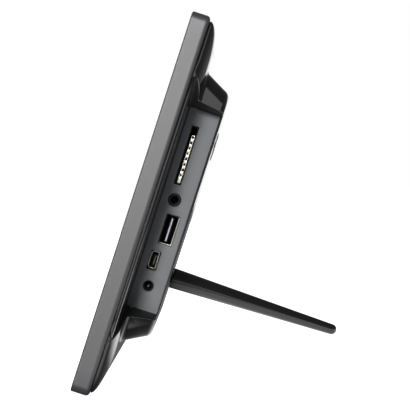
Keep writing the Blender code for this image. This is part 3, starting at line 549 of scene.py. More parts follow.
def thicken(thing: bpy.types.Object, thickness: float) -> None:
    """Give a sheet a wall behind it, with its rims closed and its open edges sharp.

    Args:
        thing: The sheet.
        thickness: Thickness of the wall.
    """
    mesh = thing.data
    edge_of_corner = np.empty(len(mesh.loops), np.int32)
    mesh.loops.foreach_get("edge_index", edge_of_corner)
    open_edge = np.bincount(edge_of_corner, minlength=len(mesh.edges)) == 1
    sharp = np.empty(len(mesh.edges), bool)
    mesh.edges.foreach_get("use_edge_sharp", sharp)
    mesh.edges.foreach_set("use_edge_sharp", sharp | open_edge)
    wall = thing.modifiers.new("Wall", "SOLIDIFY")
    wall.thickness = thickness / 1000
    wall.offset = -1.0
    wall.use_even_offset = False
    wall.use_rim = True


# ---- Rear cover ----


@dataclass
class RearCover:
    """The gloss shell: a domed dish round a drafted hump, with the port recess and its openings."""

    placement: Placement
    seam: float = 8.3
    inset: float = 1.8
    rim_radius: float = 1.8
    dish_rise: float = 4.5
    hump_raised: float = 1.45
    hump_side: float = 23.0  # from the side of the frame to the foot of the hump
    hump_top: float = 21.5
    draft: float = 0.5
    corner: float = 7.0
    foot: float = 1.6
    depth: float = 24.8
    round: float = 3.0
    round_depth: float = 0.85  # of the rear edge's round, as a share of its inset
    round_pull: tuple[float, float] = (0.45, 0.75)  # shares of t and of t * t in that inset
    dome: float = 0.3
    wedge: float = 0.004  # how much deeper the hump is for each millimetre up
    wedge_fade: float = 3.0  # depth over which that sets in
    recess_x: float = 63.0
    recess_raised: float = 1.1
    recess_half: float = 45.95
    recess_floor: float = 9.8
    flare_top: float = 68.0  # radii of the recess's two flared ends
    flare_bottom: float = 54.0
    recess_lip: float = 0.4
    recess_fillet: float = 0.5
    panel_lip: float = 24.1
    wall: float = 0.7
    dish_rows: int = 61
    foot_rows: int = 16
    side_rows: int = 25
    edge_rows: int = 40
    openings: list[Opening] = field(default_factory=list)

    def __post_init__(self) -> None:
        """Work out the sections once and lay out the openings."""
        self.middle = HEIGHT / 2
        self.recess_z = self.middle + self.recess_raised
        self.profile = self.sections()
        self.openings = self.lay_out()

    def hump_half(self, depth: np.ndarray) -> tuple[np.ndarray, np.ndarray]:
        """Half width and half height of the drafted hump at a depth."""
        pull_in = self.draft * (depth - self.seam - self.dish_rise)
        return WIDTH / 2 - self.hump_side - pull_in, HEIGHT / 2 - self.hump_top - pull_in

    def sections(self) -> np.ndarray:
        """The outside from the seam to the edge of the rear face.

        The dish is a quarter ellipse, its foot a parabola between dish and hump, the hump a straight draft,
        and its edge a round whose inset is a share of t and a share of t * t while its depth is a sine of t.

        Returns:
            Rows of (half width, half height, radius, centre height, depth).
        """
        turn = np.linspace(0.0, np.pi / 2, self.dish_rows)
        u = 1 - np.cos(turn)
        floor = self.seam + self.dish_rise
        base_width, base_height = self.hump_half(np.float64(floor))
        start_width, start_height = WIDTH / 2 - self.inset, HEIGHT / 2 - self.inset
        dish = np.stack([
            start_width + (base_width + self.foot - start_width) * u,
            start_height + (base_height + self.foot - start_height) * u,
            self.rim_radius + (self.corner - self.rim_radius) * u, self.middle + self.hump_raised * u,
            self.seam + self.dish_rise * np.sin(turn)], 1)
        t = np.linspace(0.0, 1.0, self.foot_rows + 1)[1:]
        foot_out = self.foot * ((1 - t) ** 2 - self.draft * t * t)
        foot = self.rows(base_width + foot_out, base_height + foot_out, floor + self.foot * t * t)
        edge_start = self.depth - self.round_depth * self.round
        side_depth = np.linspace(floor + self.foot, edge_start, self.side_rows + 1)[1:]
        side = self.rows(*self.hump_half(side_depth), side_depth)
        t = np.linspace(0.0, 1.0, self.edge_rows + 1)[1:]
        edge_width, edge_height = self.hump_half(np.float64(edge_start))
        pull_in = self.round * (self.round_pull[0] * t + self.round_pull[1] * t * t)
        edge_depth = self.depth - self.round_depth * self.round * (1 - np.sin(t * np.pi / 2))
        edge = self.rows(edge_width - pull_in, edge_height - pull_in, edge_depth)
        return np.concatenate([dish, foot, side, edge])

    def rows(self, half_width: np.ndarray, half_height: np.ndarray, depth: np.ndarray) -> np.ndarray:
        """Sections of the hump, which share one corner radius and one centre."""
        centre = self.middle + self.hump_raised
        return np.stack(np.broadcast_arrays(half_width, half_height, self.corner, centre, depth), 1)

    def lay_out(self) -> list[Opening]:
        """The key openings, speaker slots, screw sinks and the leg's seat.

        Returns:
            The openings in the cover's plan.
        """
        speaker_x, slot_length, slot_pitch = 34.0, 16.0, 2.8
        found = [Opening(0.0, KEYS_HEIGHT, 14.6, 14.6, sides=72),
                 Opening(0.0, LEG_HEIGHT, 9.8, 9.8, floor=23.5, bore=4.3, sides=56)]
        for side in (-1, 1):
            found.append(Opening(side * SIDE_KEY_X, KEYS_HEIGHT, 8.6, 5.4))
            for slot in range(-2, 3):
                length = slot_length * math.sqrt(1 - (slot / 5) ** 2)
                height = LEG_HEIGHT + slot_pitch * slot
                found.append(Opening(side * speaker_x, height, length, 1.3, lip=0.2, sides=16))
            for height in SCREW_HEIGHTS:
                found.append(Opening(side * SCREW_X, height, 5.0, 5.0, lip=0.35, floor=9.4, bore=1.5))
        return found

    def skin(self, plan: np.ndarray) -> np.ndarray:
        """Depth of the unpierced outside: between sections along their offset, and a dome within the last.

        Args:
            plan: Points of (x, h).

        Returns:
            The depth at each point.
        """
        distance = rounded_distance(plan, self.profile)
        beyond = distance > 0
        index = np.where(beyond.any(1), beyond.argmax(1), len(self.profile))
        after = np.clip(index, 1, len(self.profile) - 1)
        rows = np.arange(len(plan))
        first, second = distance[rows, after - 1], distance[rows, after]
        share = np.clip(-first / np.maximum(second - first, 1e-9), 0.0, 1.0)
        level = self.profile[after - 1, 4] * (1 - share) + self.profile[after, 4] * share
        rim = self.profile[-1]
        across = plan[:, 0] / rim[0]
        along = (plan[:, 1] - rim[3]) / rim[1]
        domed = self.depth + self.dome * (1 - across ** 2) * (1 - along ** 2)
        level = np.where(index >= len(self.profile), domed, level)
        fade = np.clip((level - self.seam) / self.wedge_fade, 0.0, 1.0)
        return level + self.wedge * fade * (plan[:, 1] - self.middle)

    def flare(self, out: np.ndarray, upper: bool) -> tuple[np.ndarray, np.ndarray]:
        """The recess's half length, which grows as a parabola of the distance from its back wall.

        Args:
            out: That distance.
            upper: Whether the upper end is meant.

        Returns:
            The half length, and the slant of the wall there: its length over its run.
        """
        radius = self.flare_top if upper else self.flare_bottom
        out = np.maximum(out, 0.0)
        return self.recess_half + out ** 2 / (2 * radius), np.sqrt(1 + (out / radius) ** 2)

    def recess_distance(self, plan: np.ndarray) -> np.ndarray:
        """Distance outside the recess: past its back wall, or past the nearer flared wall over its slant.

        Args:
            plan: Points of (x, h).

        Returns:
            One distance for each point, below zero within the recess.
        """
        out = plan[:, 0] - self.recess_x
        level = plan[:, 1] - self.recess_z
        upper, lower = self.flare(out, True), self.flare(out, False)
        past = np.where(level > 0, (level - upper[0]) / upper[1], (-level - lower[0]) / lower[1])
        return np.maximum(-out, past)

    def recess_line(self, grow: float, reach: float) -> np.ndarray:
        """The recess outline moved outwards, from its lower flare round the back wall to its upper flare.

        Args:
            grow: How far it is moved.
            reach: The x at which both flares end.

        Returns:
            Plan points of (x, h), open at the side of the frame.
        """
        spacing, back_points = 0.3, 46
        x = np.arange(self.recess_x - grow, reach, spacing)
        flares = []
        for upper in (False, True):
            half, slant = self.flare(x - self.recess_x, upper)
            level = self.recess_z + (1 if upper else -1) * (half + grow * slant)
            flares.append(np.stack([x, level], 1))
        lower, upper = flares
        share = np.linspace(0.0, 1.0, back_points + 2)[1:-1, None]
        back = lower[0] * (1 - share) + upper[0] * share
        return np.concatenate([lower[::-1], back, upper])

    def recess_steps(self) -> list[float]:
        """The lines that carry the recess's lip and fillet, a flat beside each, and the top of its wall.

        Returns:
            Their offsets from the recess's outline.
        """
        turn = np.linspace(0.0, np.pi / 2, 6)
        lip = self.recess_lip * (1 - np.cos(turn))
        fillet = -RECESS_BAND - self.recess_fillet * (1 - np.cos(turn))
        return [*lip, self.recess_lip + GUARD, -0.4 * RECESS_BAND, *fillet, fillet[-1] - GUARD]

    def levels(self, plan: np.ndarray) -> np.ndarray:
        """Depth of the pierced outside at each plan point.

        Outside the recess the skin falls round its lip, and inside it rises round its fillet from the floor,
        which meets the dish in a parabola. The change from lip to wall to floor lies midway between the lines
        that hold them. Round each opening the result falls round a lip and then straight down.

        Args:
            plan: Points of (x, h).

        Returns:
            The depth at each point.
        """
        skin = self.skin(plan)
        blend = 0.25  # half the gap over which the floor runs out into the dish
        back, end = 0.12, 0.06  # how far from the back wall, and from its ends, its foot stays square
        gap = skin - self.recess_floor
        floor = np.where(gap > blend, self.recess_floor, np.where(
            gap < -blend, skin, skin - (gap + blend) ** 2 / (4 * blend)))
        distance = self.recess_distance(plan)
        outer = np.maximum(skin - lip_drop(distance, self.recess_lip), floor)
        lip_edge = np.maximum(np.minimum(skin - self.recess_lip, self.panel_lip), floor)
        off_middle = np.abs(plan[:, 1] - self.recess_z)
        square = (plan[:, 0] < self.recess_x + back) & (off_middle < self.recess_half - end)
        fillet = np.where(square, 0.0, lip_drop(-distance - RECESS_BAND, self.recess_fillet))
        inner = np.minimum(floor + fillet, np.maximum(skin, floor))
        level = np.where(distance > -0.2 * RECESS_BAND, outer, np.where(
            distance > -0.7 * RECESS_BAND, lip_edge, inner))
        for opening in self.openings:
            past = opening.distance(plan)
            cut = level - lip_drop(past, opening.lip)
            base = level - opening.depth if opening.floor is None else np.full_like(level, opening.floor)
            level = np.where(past > -0.5 * WALL_BAND, np.where(past < opening.lip, cut, level), base)
        return level

    def chosen_rows(self) -> list[int]:
        """The sections that carry rings: every third of the dish, second of the foot, then fourth and third.

        Returns:
            Their numbers, the last section's among them.
        """
        foot_end = self.dish_rows + self.foot_rows
        side_end = foot_end + self.side_rows
        last = self.dish_rows + self.foot_rows + self.side_rows + self.edge_rows - 1
        edge = [*range(side_end + 2, last + 1, 3)]
        return [*range(0, self.dish_rows, 3), *range(self.dish_rows + 1, foot_end, 2),
                *range(foot_end + 1, side_end, 4), *edge[:-1], last]

    def clear_of_openings(self, plan: np.ndarray, gap: float) -> np.ndarray:
        """Which plan points lie further than a gap from every opening."""
        return np.min([opening.distance(plan) for opening in self.openings], axis=0) > gap

    def grid(self, across: tuple[float, float], upward: tuple[float, float], pitch: float,
             centre: float) -> np.ndarray:
        """Points at an even pitch over a rectangle.

        Args:
            across: Where x starts and ends.
            upward: Where the height above the centre starts and ends.
            pitch: Distance between points.
            centre: Height of the rectangle's middle.

        Returns:
            Plan points of (x, h).
        """
        x, z = np.meshgrid(np.arange(*across, pitch), np.arange(*upward, pitch))
        return np.stack([x.ravel(), z.ravel() + centre], 1)

    def net(self) -> PlanNet:
        """Lay out the plan: section rings, the recess's lines, grids on the flats and the openings' rings.

        A ring keeps off the recess's lines and off the openings, and within the recess it is kept only where
        the dish lies near the floor or below it.

        Returns:
            The filled net.
        """
        net = PlanNet()
        ring_gap, grid_gap = 0.9, 1.2  # least distance from the openings
        recess_gap, rear_gap, floor_gap = 0.25, 0.6, 0.6  # from the recess's lines, for rings, grid and floor
        rear_pitch, floor_pitch = 3.5, 4.0
        steps = self.recess_steps()
        low, high = min(steps) - recess_gap, max(steps) + recess_gap
        for number, ring in enumerate(rounded_rings(self.profile[self.chosen_rows()], 13, 30)):
            distance = self.recess_distance(ring)
            near_floor = self.skin(ring) < self.recess_floor + floor_gap
            off_lines = (distance > high) | ((distance < low) & near_floor)
            kept = off_lines & self.clear_of_openings(ring, ring_gap)
            net.add_line(ring, True, kept if number else None)
        reach_depth = self.seam + 0.2 * self.dish_rise
        dish = self.profile[:self.dish_rows]
        reach = float(np.interp(reach_depth, dish[:, 4], dish[:, 0]))
        for step in steps:
            net.add_line(self.recess_line(step, reach), False)
        rim = self.profile[-1]
        rear = self.grid((-rim[0] + 3, rim[0] - 2), (-rim[1] + 3, rim[1] - 2), rear_pitch, rim[3])
        off_recess = self.recess_distance(rear) > high + rear_gap
        net.add_points(rear[self.clear_of_openings(rear, grid_gap) & off_recess])
        net.add_points(self.grid((self.recess_x + 3, 99.0), (-40.0, 41.0), floor_pitch, self.recess_z))
        for opening in self.openings:
            for step in opening.steps():
                net.add_line(opening.ring(step), True)
            if opening.bore:
                bore = 2 * opening.bore
                net.add_line(Opening(opening.u, opening.v, bore, bore, sides=32).ring(0.0), True)
        return net

    def build(self) -> bpy.types.Object:
        """Make the shell, with the key, slot and port openings left open.

        Returns:
            The finished cover.
        """
        plan, faces = self.net().triangles()
        centre = plan[faces].mean(1)
        gone = np.zeros(len(faces), bool)
        for opening in self.openings:
            if opening.floor is None:
                gone |= opening.distance(centre) < -1.2 * WALL_BAND
            else:
                gone |= np.hypot(centre[:, 0] - opening.u, centre[:, 1] - opening.v) < opening.bore - 1e-3
        depth_in = -self.recess_distance(centre)
        behind = centre[:, 0] < self.recess_x + 1.1 * RECESS_BAND
        gone |= behind & (depth_in > 0.45 * RECESS_BAND) & (depth_in < RECESS_BAND)
        faces = faces[~gone]
        upright, faces = open_sheet(plan, self.levels(plan), faces, Axis.REARWARD)
        thing = add_mesh("rear_cover_shell", self.placement.points(upright), faces, GLOSS_BLACK, 60.0)
        thing.data.materials.append(TEXTURED_BLACK.material())
        past = self.recess_distance(upright[:, [0, 2]][faces].mean(1))
        textured = (past < -0.2 * RECESS_BAND) & (past > -RECESS_BAND - self.recess_fillet - GUARD)
        thing.data.polygons.foreach_set("material_index", textured.astype(np.int32))
        thicken(thing, self.wall)
        return settle(thing, "frame", ["rear_cover"])


# ---- Front bezel ----


@dataclass
class Bezel:
    """The satin front: a window, a flat side wall and a rounded rear edge."""

    placement: Placement
    depth: float = 8.0
    outline: float = 3.6  # radius of the outline's corners
    front_round: float = 0.6
    rear_round: float = 1.65
    wall: float = 2.8
    face: float = 2.0
    border_side: float = 22.0
    border_top: float = 21.5
    bevel: float = 0.9
    window: float = 0.8  # radius of the window's corners
    soft: float = 0.15  # half width of the flat between face and bevel

    def ring(self, side: np.ndarray | float, top: np.ndarray | float, radius: np.ndarray | float,
             depth: np.ndarray) -> np.ndarray:
        """Sections at insets from the outline, in the columns that sections() gives."""
        return np.stack(np.broadcast_arrays(WIDTH / 2 - side, HEIGHT / 2 - top, radius, HEIGHT / 2, depth), 1)

    def sections(self) -> np.ndarray:
        """The cross-section round the outside and back through the inside, with its edges as quarter circles.

        Returns:
            Rows of (half width, half height, radius, centre height, depth).
        """
        turn = np.linspace(0.0, np.pi / 2, 7)
        front = self.front_round * (1 - np.sin(turn))
        rear_turn = np.linspace(0.0, np.pi / 2, 13)
        rear = self.rear_round * (1 - np.cos(rear_turn))
        rear_start = self.depth - self.rear_round
        inner = self.outline - self.rear_round
        outer = self.window + self.bevel
        guard = self.front_round + GUARD
        side, top = self.border_side - self.bevel, self.border_top - self.bevel
        return np.concatenate([
            self.ring(front, front, self.outline - front, self.front_round * (1 - np.cos(turn))),
            self.ring(0.0, 0.0, self.outline, np.array([guard, rear_start - GUARD])),
            self.ring(rear, rear, self.outline - rear, rear_start + self.rear_round * np.sin(rear_turn)),
            self.ring(self.wall, self.wall, inner, np.array([self.depth, self.face])),
            self.ring(self.border_side, self.border_top, self.window, np.array([self.face, self.bevel])),
            self.ring(side + self.soft, top + self.soft, outer, np.array([self.soft])),
            self.ring(side - self.soft, top - self.soft, outer, np.array([0.0])),
            self.ring(side - self.soft - GUARD, top - self.soft - GUARD, outer + GUARD, np.array([0.0])),
            self.ring(guard, guard, self.outline - guard, np.array([0.0])),
        ])

    def build(self) -> bpy.types.Object:
        """Carry the cross-section round the frame: a grid closed both ways.

        Returns:
            The finished bezel.
        """
        sections = self.sections()
        rings = rounded_rings(sections, 15, 20)
        thing = add_loft("front_bezel_moulding", rearward_rings(list(rings), sections[:, 4].tolist()),
                         self.placement, (SATIN_PAINT,), closed=True, sharp=40.0)
        return settle(thing, "frame", ["front_bezel"])


# ---- Port panel and contact bar ----


@dataclass(frozen=True)
class PiercedPlate:
    """A flat plate that faces across, with a rounded edge and rounded rims at its openings."""

    name: str
    node: str
    slot: str
    finish: Finish
    face: float
    depths: tuple[float, float]
    heights: tuple[float, float]
    openings: tuple[Opening, ...]
    edge: float = 0.2
    lowered: float = 1.4
    wall: float = 0.5

    @classmethod
    def port_panel(cls) -> PiercedPlate:
        """The panel in the recess, cut out for the card slot, phones, USB, mini USB and the supply.

        Returns:
            The panel, not yet built.
        """
        openings = (
            Opening(14.95, 108.45, 26.9, 3.3, False, 0.15, corner=0.5),
            Opening(16.0, 88.2, 5.9, 5.9, False, 0.15),
            Opening(17.8, 74.9, 13.6, 6.2, False, 0.15, corner=0.4),
            Opening(15.4, 60.15, 8.7, 4.5, False, 0.15, corner=0.5),
            Opening(16.6, 48.7, 4.8, 4.8, False, 0.3),
        )
        return cls("port_panel_plate", "port_panel", "port_grey", PORT_PLASTIC, 62.9, (9.95, 23.95),
                   (37.78, 129.42), openings)

    @classmethod
    def contact_bar(cls) -> PiercedPlate:
        """The card slot's bar, with a square opening for each of its eight contacts.

        Returns:
            The bar, not yet built.
        """
        lowest, pitch = 99.3, 2.5
        openings = tuple(Opening(15.22, lowest + pitch * number, 1.15, 1.05, False, 0.04, 0.3, corner=0.3,
                                 sides=16) for number in range(8))
        return cls("sd_contact_strip", "sd_contact_bar", "nickel", TIN_PLATE_AND_HIGHLIGHT, 61.6, (14.62, 16.0),
                   (95.85, 117.7), openings, 0.03, 0.3, 0.25)

    def build(self, placement: Placement) -> bpy.types.Object:
        """Make the plate as a plan of its outline and its openings, and fold the rims down.

        Args:
            placement: The lean of the frame.

        Returns:
            The finished plate.
        """
        half = np.array([self.depths[1] - self.depths[0], self.heights[1] - self.heights[0]]) / 2
        middle = np.array([sum(self.depths), sum(self.heights)]) / 2
        outline = np.array([[*half, 0.25, 0.0]])
        net = PlanNet()
        turn = np.radians([0.0, 30.0, 60.0, 90.0])
        for inset in [0.0, *(self.edge * (1 - np.cos(turn[1:])))]:
            ring = outline - np.array([[inset, inset, 0.0, 0.0]])
            net.add_line(rounded_rings(ring, 4, 24)[0] + middle, True)
        for opening in self.openings:
            for step in (*opening.steps()[:5], -WALL_BAND):
                net.add_line(opening.ring(step), True)
        plan, faces = net.triangles()
        centre = plan[faces].mean(1)
        gone = np.min([opening.distance(centre) for opening in self.openings], axis=0) < -1.2 * WALL_BAND
        inset = -rounded_distance(plan - middle, outline)[:, 0]
        level = self.face - lip_drop(inset, self.edge)
        for opening in self.openings:
            past = opening.distance(plan)
            folded = level - lip_drop(past, opening.lip)
            level = np.where(past > -0.5 * WALL_BAND, folded, level - self.lowered)
        upright, faces = open_sheet(plan, level, faces[~gone], Axis.ACROSS)
        thing = add_mesh(self.name, placement.points(upright), faces, self.finish, 60.0)
        thicken(thing, self.wall)
        return settle(thing, "frame", [self.node])


# ---- Lofted pieces ----


def add_loft(name: str, rings: np.ndarray, placement: Placement, finishes: tuple[Finish, ...],
             bands: np.ndarray | list[int] | None = None, closed: bool = False,
             sharp: float = 35.0) -> bpy.types.Object:
    """Make a solid carried through rings of equal count, its ends closed by flat faces.

    Args:
        name: The piece's name.
        rings: Upright points, an array of (rings, points, 3).
        placement: The lean of the frame.
        finishes: The finishes it wears.
        bands: Which finish each stretch between two rings wears, then the first end and the last; or the
            finish of every face in that order.
        closed: Whether the last ring joins the first, which leaves no ends.
        sharp: Angle in degrees past which an edge stays sharp.

    Returns:
        The new object.
    """
    rows, columns = rings.shape[:2]
    faces = grid_faces(rows, columns, closed, True).tolist()
    if not closed:
        faces.append(list(range(columns))[::-1])
        faces.append(list(range((rows - 1) * columns, rows * columns)))
    points = placement.points(rings.reshape(-1, 3))
    thing = add_mesh(name, points, facing_out(points, faces), finishes[0], sharp)
    for finish in finishes[1:]:
        thing.data.materials.append(finish.material())
    if bands is not None:
        whole = len(bands) == len(faces)
        index = np.asarray(bands if whole else [*np.repeat(bands[:-2], columns), *bands[-2:]], np.int32)
        thing.data.polygons.foreach_set("material_index", index)
    return thing


def across_rings(sections: np.ndarray, middle: tuple[float, float],
                 radii: np.ndarray | None = None) -> np.ndarray:
    """Rounded rectangles that face across.

    Args:
        sections: Rows of (half depth, half height, radius, x).
        middle: Depth and height of their middle.
        radii: A row of four corner radii for each section, where the corners differ.

    Returns:
        Upright points, an array of (sections, points, 3).
    """
    flat = np.concatenate([sections[:, :3], np.zeros((len(sections), 1))], 1)
    rings = rounded_rings(flat, 7, 3, radii)
    x = np.broadcast_to(sections[:, 3][:, None], rings.shape[:2])
    return np.stack([x, rings[..., 0] + middle[0], rings[..., 1] + middle[1]], -1)


def rearward_rings(plans: list[np.ndarray], depths: list[float]) -> np.ndarray:
    """Plan rings of (x, h) lifted each to its own depth."""
    return np.stack([np.insert(plan, 1, depth, 1) for plan, depth in zip(plans, depths, strict=True)])


class LipPaint(Enum):
    """How a shell's lip is painted: pale tin as a painted highlight, black nylon as painted shade."""

    # Pale tin all round: a painted highlight along the whole rim
    PAINTED_HIGHLIGHT = "bright"
    PAINTED_SHADE = "lined"  # painted shade all round: the whole lip black
    HALF_PAINTED_SHADE = "half lined"  # painted highlight at the rear and the foot only, where light catches the lip; painted shade elsewhere


@dataclass(frozen=True)
class Shell:
    """A socket's pressed shell that faces across: closed at its back, black inside as a painted shade, its
    lip rolled and painted pale where a highlight falls and black where shade falls.
    """

    name: str
    node: str
    depths: tuple[float, float]
    heights: tuple[float, float]
    back: float
    mouth: float
    corners: tuple[float, float] = (0.4, 0.4)  # radii on the front side and on the rear side
    wall: float = 0.3
    edge: float = 0.2  # bevel round the back, inside and out
    floor: float = 1.0  # thickness of the floor inside, which is black as a painted shade
    highlight_margin: float = 0.4  # how near to the rear side and to the foot the lip keeps its painted highlight
    lip: LipPaint = LipPaint.PAINTED_HIGHLIGHT

    def build(self, placement: Placement) -> bpy.types.Object:
        """Loft the outside to the mouth, round the lip by a half circle, and go back in to the floor.

        Args:
            placement: The lean of the frame.

        Returns:
            The finished shell.
        """
        turn = np.linspace(0.0, np.pi, 9)
        rim = self.wall / 2
        inset = np.concatenate([[self.edge, 0.0], rim * (1 - np.cos(turn)),
                                [self.wall, self.wall + self.edge]])
        x = np.concatenate([[self.back, self.back + self.edge], self.mouth - rim * (1 - np.sin(turn)),
                            [self.back + self.floor + self.edge, self.back + self.floor]])
        half_depth = (self.depths[1] - self.depths[0]) / 2
        half_height = (self.heights[1] - self.heights[0]) / 2
        front, rear = self.corners
        radii = np.maximum(np.array([[rear, front, front, rear]]) - inset[:, None], 0.05)
        sections = np.stack([half_depth - inset, half_height - inset, radii[:, 0], x], 1)
        middle = (sum(self.depths) / 2, sum(self.heights) / 2)
        rings = across_rings(sections, middle, radii)
        # Along the lip's half circle, pale tin is a painted highlight and black a painted shade on the unlit
        # sides; the inner wall and floor are black, a painted shade
        shaded_columns = np.zeros(rings.shape[1], int)
        if self.lip is LipPaint.PAINTED_SHADE:
            shaded_columns[:] = 1
        elif self.lip is LipPaint.HALF_PAINTED_SHADE:
            to_front = rings[1, :, 1] < self.depths[1] - self.highlight_margin
            shaded_columns[:] = to_front & (rings[1, :, 2] > self.heights[0] + self.highlight_margin)
        rows = [np.zeros((2, len(shaded_columns)), int), np.tile(np.where(shaded_columns, 1, 2), (len(turn) - 1, 1)),
                np.ones((2, len(shaded_columns)), int)]
        bands = np.concatenate([np.concatenate(rows).ravel(), [0, 1]])
        thing = add_loft(self.name, rings, placement, (NICKEL_PLATE, BLACK_NYLON_AND_SHADE, TIN_PLATE_AND_HIGHLIGHT), bands)
        return settle(thing, "frame", [self.node])


@dataclass(frozen=True)
class Tongue:
    """The tongue in a socket that faces across, tapered to a narrow end painted pale grey as a highlight."""

    name: str
    node: str
    middle: tuple[float, float]  # depth and height, as for the two halves
    half: tuple[float, float]
    end_half: tuple[float, float]
    back: float
    end: float
    taper: float = 0.9
    edge: float = 0.1
    corner: float = 0.12

    def build(self, placement: Placement) -> bpy.types.Object:
        """Loft the tongue from its root to its end, with a small round before the flat.

        Args:
            placement: The lean of the frame.

        Returns:
            The finished tongue.
        """
        rows = [(*self.half, self.back), (*self.half, self.end - self.taper),
                (*self.end_half, self.end - self.corner),
                (self.end_half[0] - self.edge, self.end_half[1] - self.edge, self.end)]
        sections = np.array([(depth, height, self.corner, x) for depth, height, x in rows])
        # The body is black; the end's round and its face are pale grey, a painted highlight
        thing = add_loft(self.name, across_rings(sections, self.middle), placement, (BLACK_NYLON_AND_SHADE, TONGUE_END_HIGHLIGHT),
                         [0, 0, 1, 0, 1])
        return settle(thing, "frame", [self.node])


@dataclass(frozen=True)
class PhoneJack:
    """The headphone jack: a square body, a round barrel with a rolled lip, and its bore."""

    middle: tuple[float, float] = (16.0, 88.2)
    body: float = 2.9
    barrel: float = 2.7
    bore: float = 1.8
    back: float = 49.7
    shoulder: float = 60.7
    mouth: float = 62.9
    outer_lip: float = 0.3
    inner_lip: float = 0.25
    floor: float = 1.8
    edge: float = 0.2

    def build(self, placement: Placement) -> bpy.types.Object:
        """Loft body, barrel, lip and bore; a round section is a square one whose radius is its half size.

        Args:
            placement: The lean of the frame.

        Returns:
            The finished jack.
        """
        turn = np.linspace(0.0, np.pi / 2, 6)
        corner, step = 0.4, 0.05
        early, late = 1 - np.cos(turn), 1 - np.sin(turn)
        outer = zip(self.barrel - self.outer_lip * early, self.mouth - self.outer_lip * late, strict=True)
        inner = zip(self.bore + self.inner_lip * late, self.mouth - self.inner_lip * early, strict=True)
        floor = self.back + self.floor
        rounds = [(self.barrel, self.shoulder + step), *outer, *inner, (self.bore, floor + self.edge),
                  (self.bore - self.edge, floor)]
        rows = [(self.body, corner, self.back), (self.body, corner, self.shoulder),
                *((radius, radius, x) for radius, x in rounds)]
        sections = np.array([(half, half, radius, x) for half, radius, x in rows])
        thing = add_loft("headphone_barrel", across_rings(sections, self.middle), placement, (BLACK_NYLON_AND_SHADE,))
        return settle(thing, "frame", ["headphone_jack"])


@dataclass(frozen=True)
class SupplyPin:
    """The supply socket's centre pin with its rounded end."""

    middle: tuple[float, float] = (16.6, 48.7)
    radius: float = 0.55
    back: float = 51.5
    end: float = 61.8

    def build(self, placement: Placement) -> bpy.types.Object:
        """Loft a round rod whose end falls by a quarter circle.

        Args:
            placement: The lean of the frame.

        Returns:
            The finished pin.
        """
        turn = np.linspace(0.0, np.radians(80.0), 7)
        radius = np.concatenate([[self.radius], self.radius * np.cos(turn)])
        x = np.concatenate([[self.back], self.end - self.radius * (1 - np.sin(turn))])
        sections = np.stack([radius, radius, radius, x], 1)
        thing = add_loft("supply_pin", across_rings(sections, self.middle), placement, (NICKEL_PLATE,))
        return settle(thing, "frame", ["dc_jack_pin"])


def all_sockets() -> list[Shell | Tongue | PhoneJack | SupplyPin | PiercedPlate]:
    """The card slot, the phone jack, USB, mini USB and the supply's pin.

    Returns:
        The pieces, not yet built.
    """
    return [
        # The card slot's lip is all painted shade, the USB's has a painted highlight at the rear and foot
        # with painted shade elsewhere, and the mini USB's is all painted highlight
        Shell("sd_shell_pressed", "sd_shell", (13.55, 16.35), (95.25, 121.65), 34.6, 62.6, lip=LipPaint.PAINTED_SHADE),
        PiercedPlate.contact_bar(),
        PhoneJack(),
        Shell("usb_shell_pressed", "usb_shell", (14.95, 20.65), (68.35, 81.45), 48.6, 62.6,
              lip=LipPaint.HALF_PAINTED_SHADE),
        Tongue("usb_tongue_moulded", "usb_tongue", (17.75, 74.9), (0.85, 5.55), (0.36, 5.2), 50.1, 62.1),
        Shell("mini_usb_shell_pressed", "mini_usb_shell", (13.55, 17.05), (56.55, 64.25), 53.8, 62.8,
              corners=(1.3, 0.6)),
        Tongue("mini_usb_tongue_moulded", "mini_usb_tongue", (15.8, 60.4), (0.4, 2.3), (0.18, 2.0), 55.1,
               62.2),
        SupplyPin(),
    ]


# ---- Keys, screws, display and washer ----


class KeyShape(Enum):
    """The outlines that a key cap may have."""

    ROUND = "round"
    SECTOR = "sector"
    OBLONG = "oblong"


FLANGE_REACH = {KeyShape.ROUND: 0.2, KeyShape.SECTOR: 0.1, KeyShape.OBLONG: 0.75}


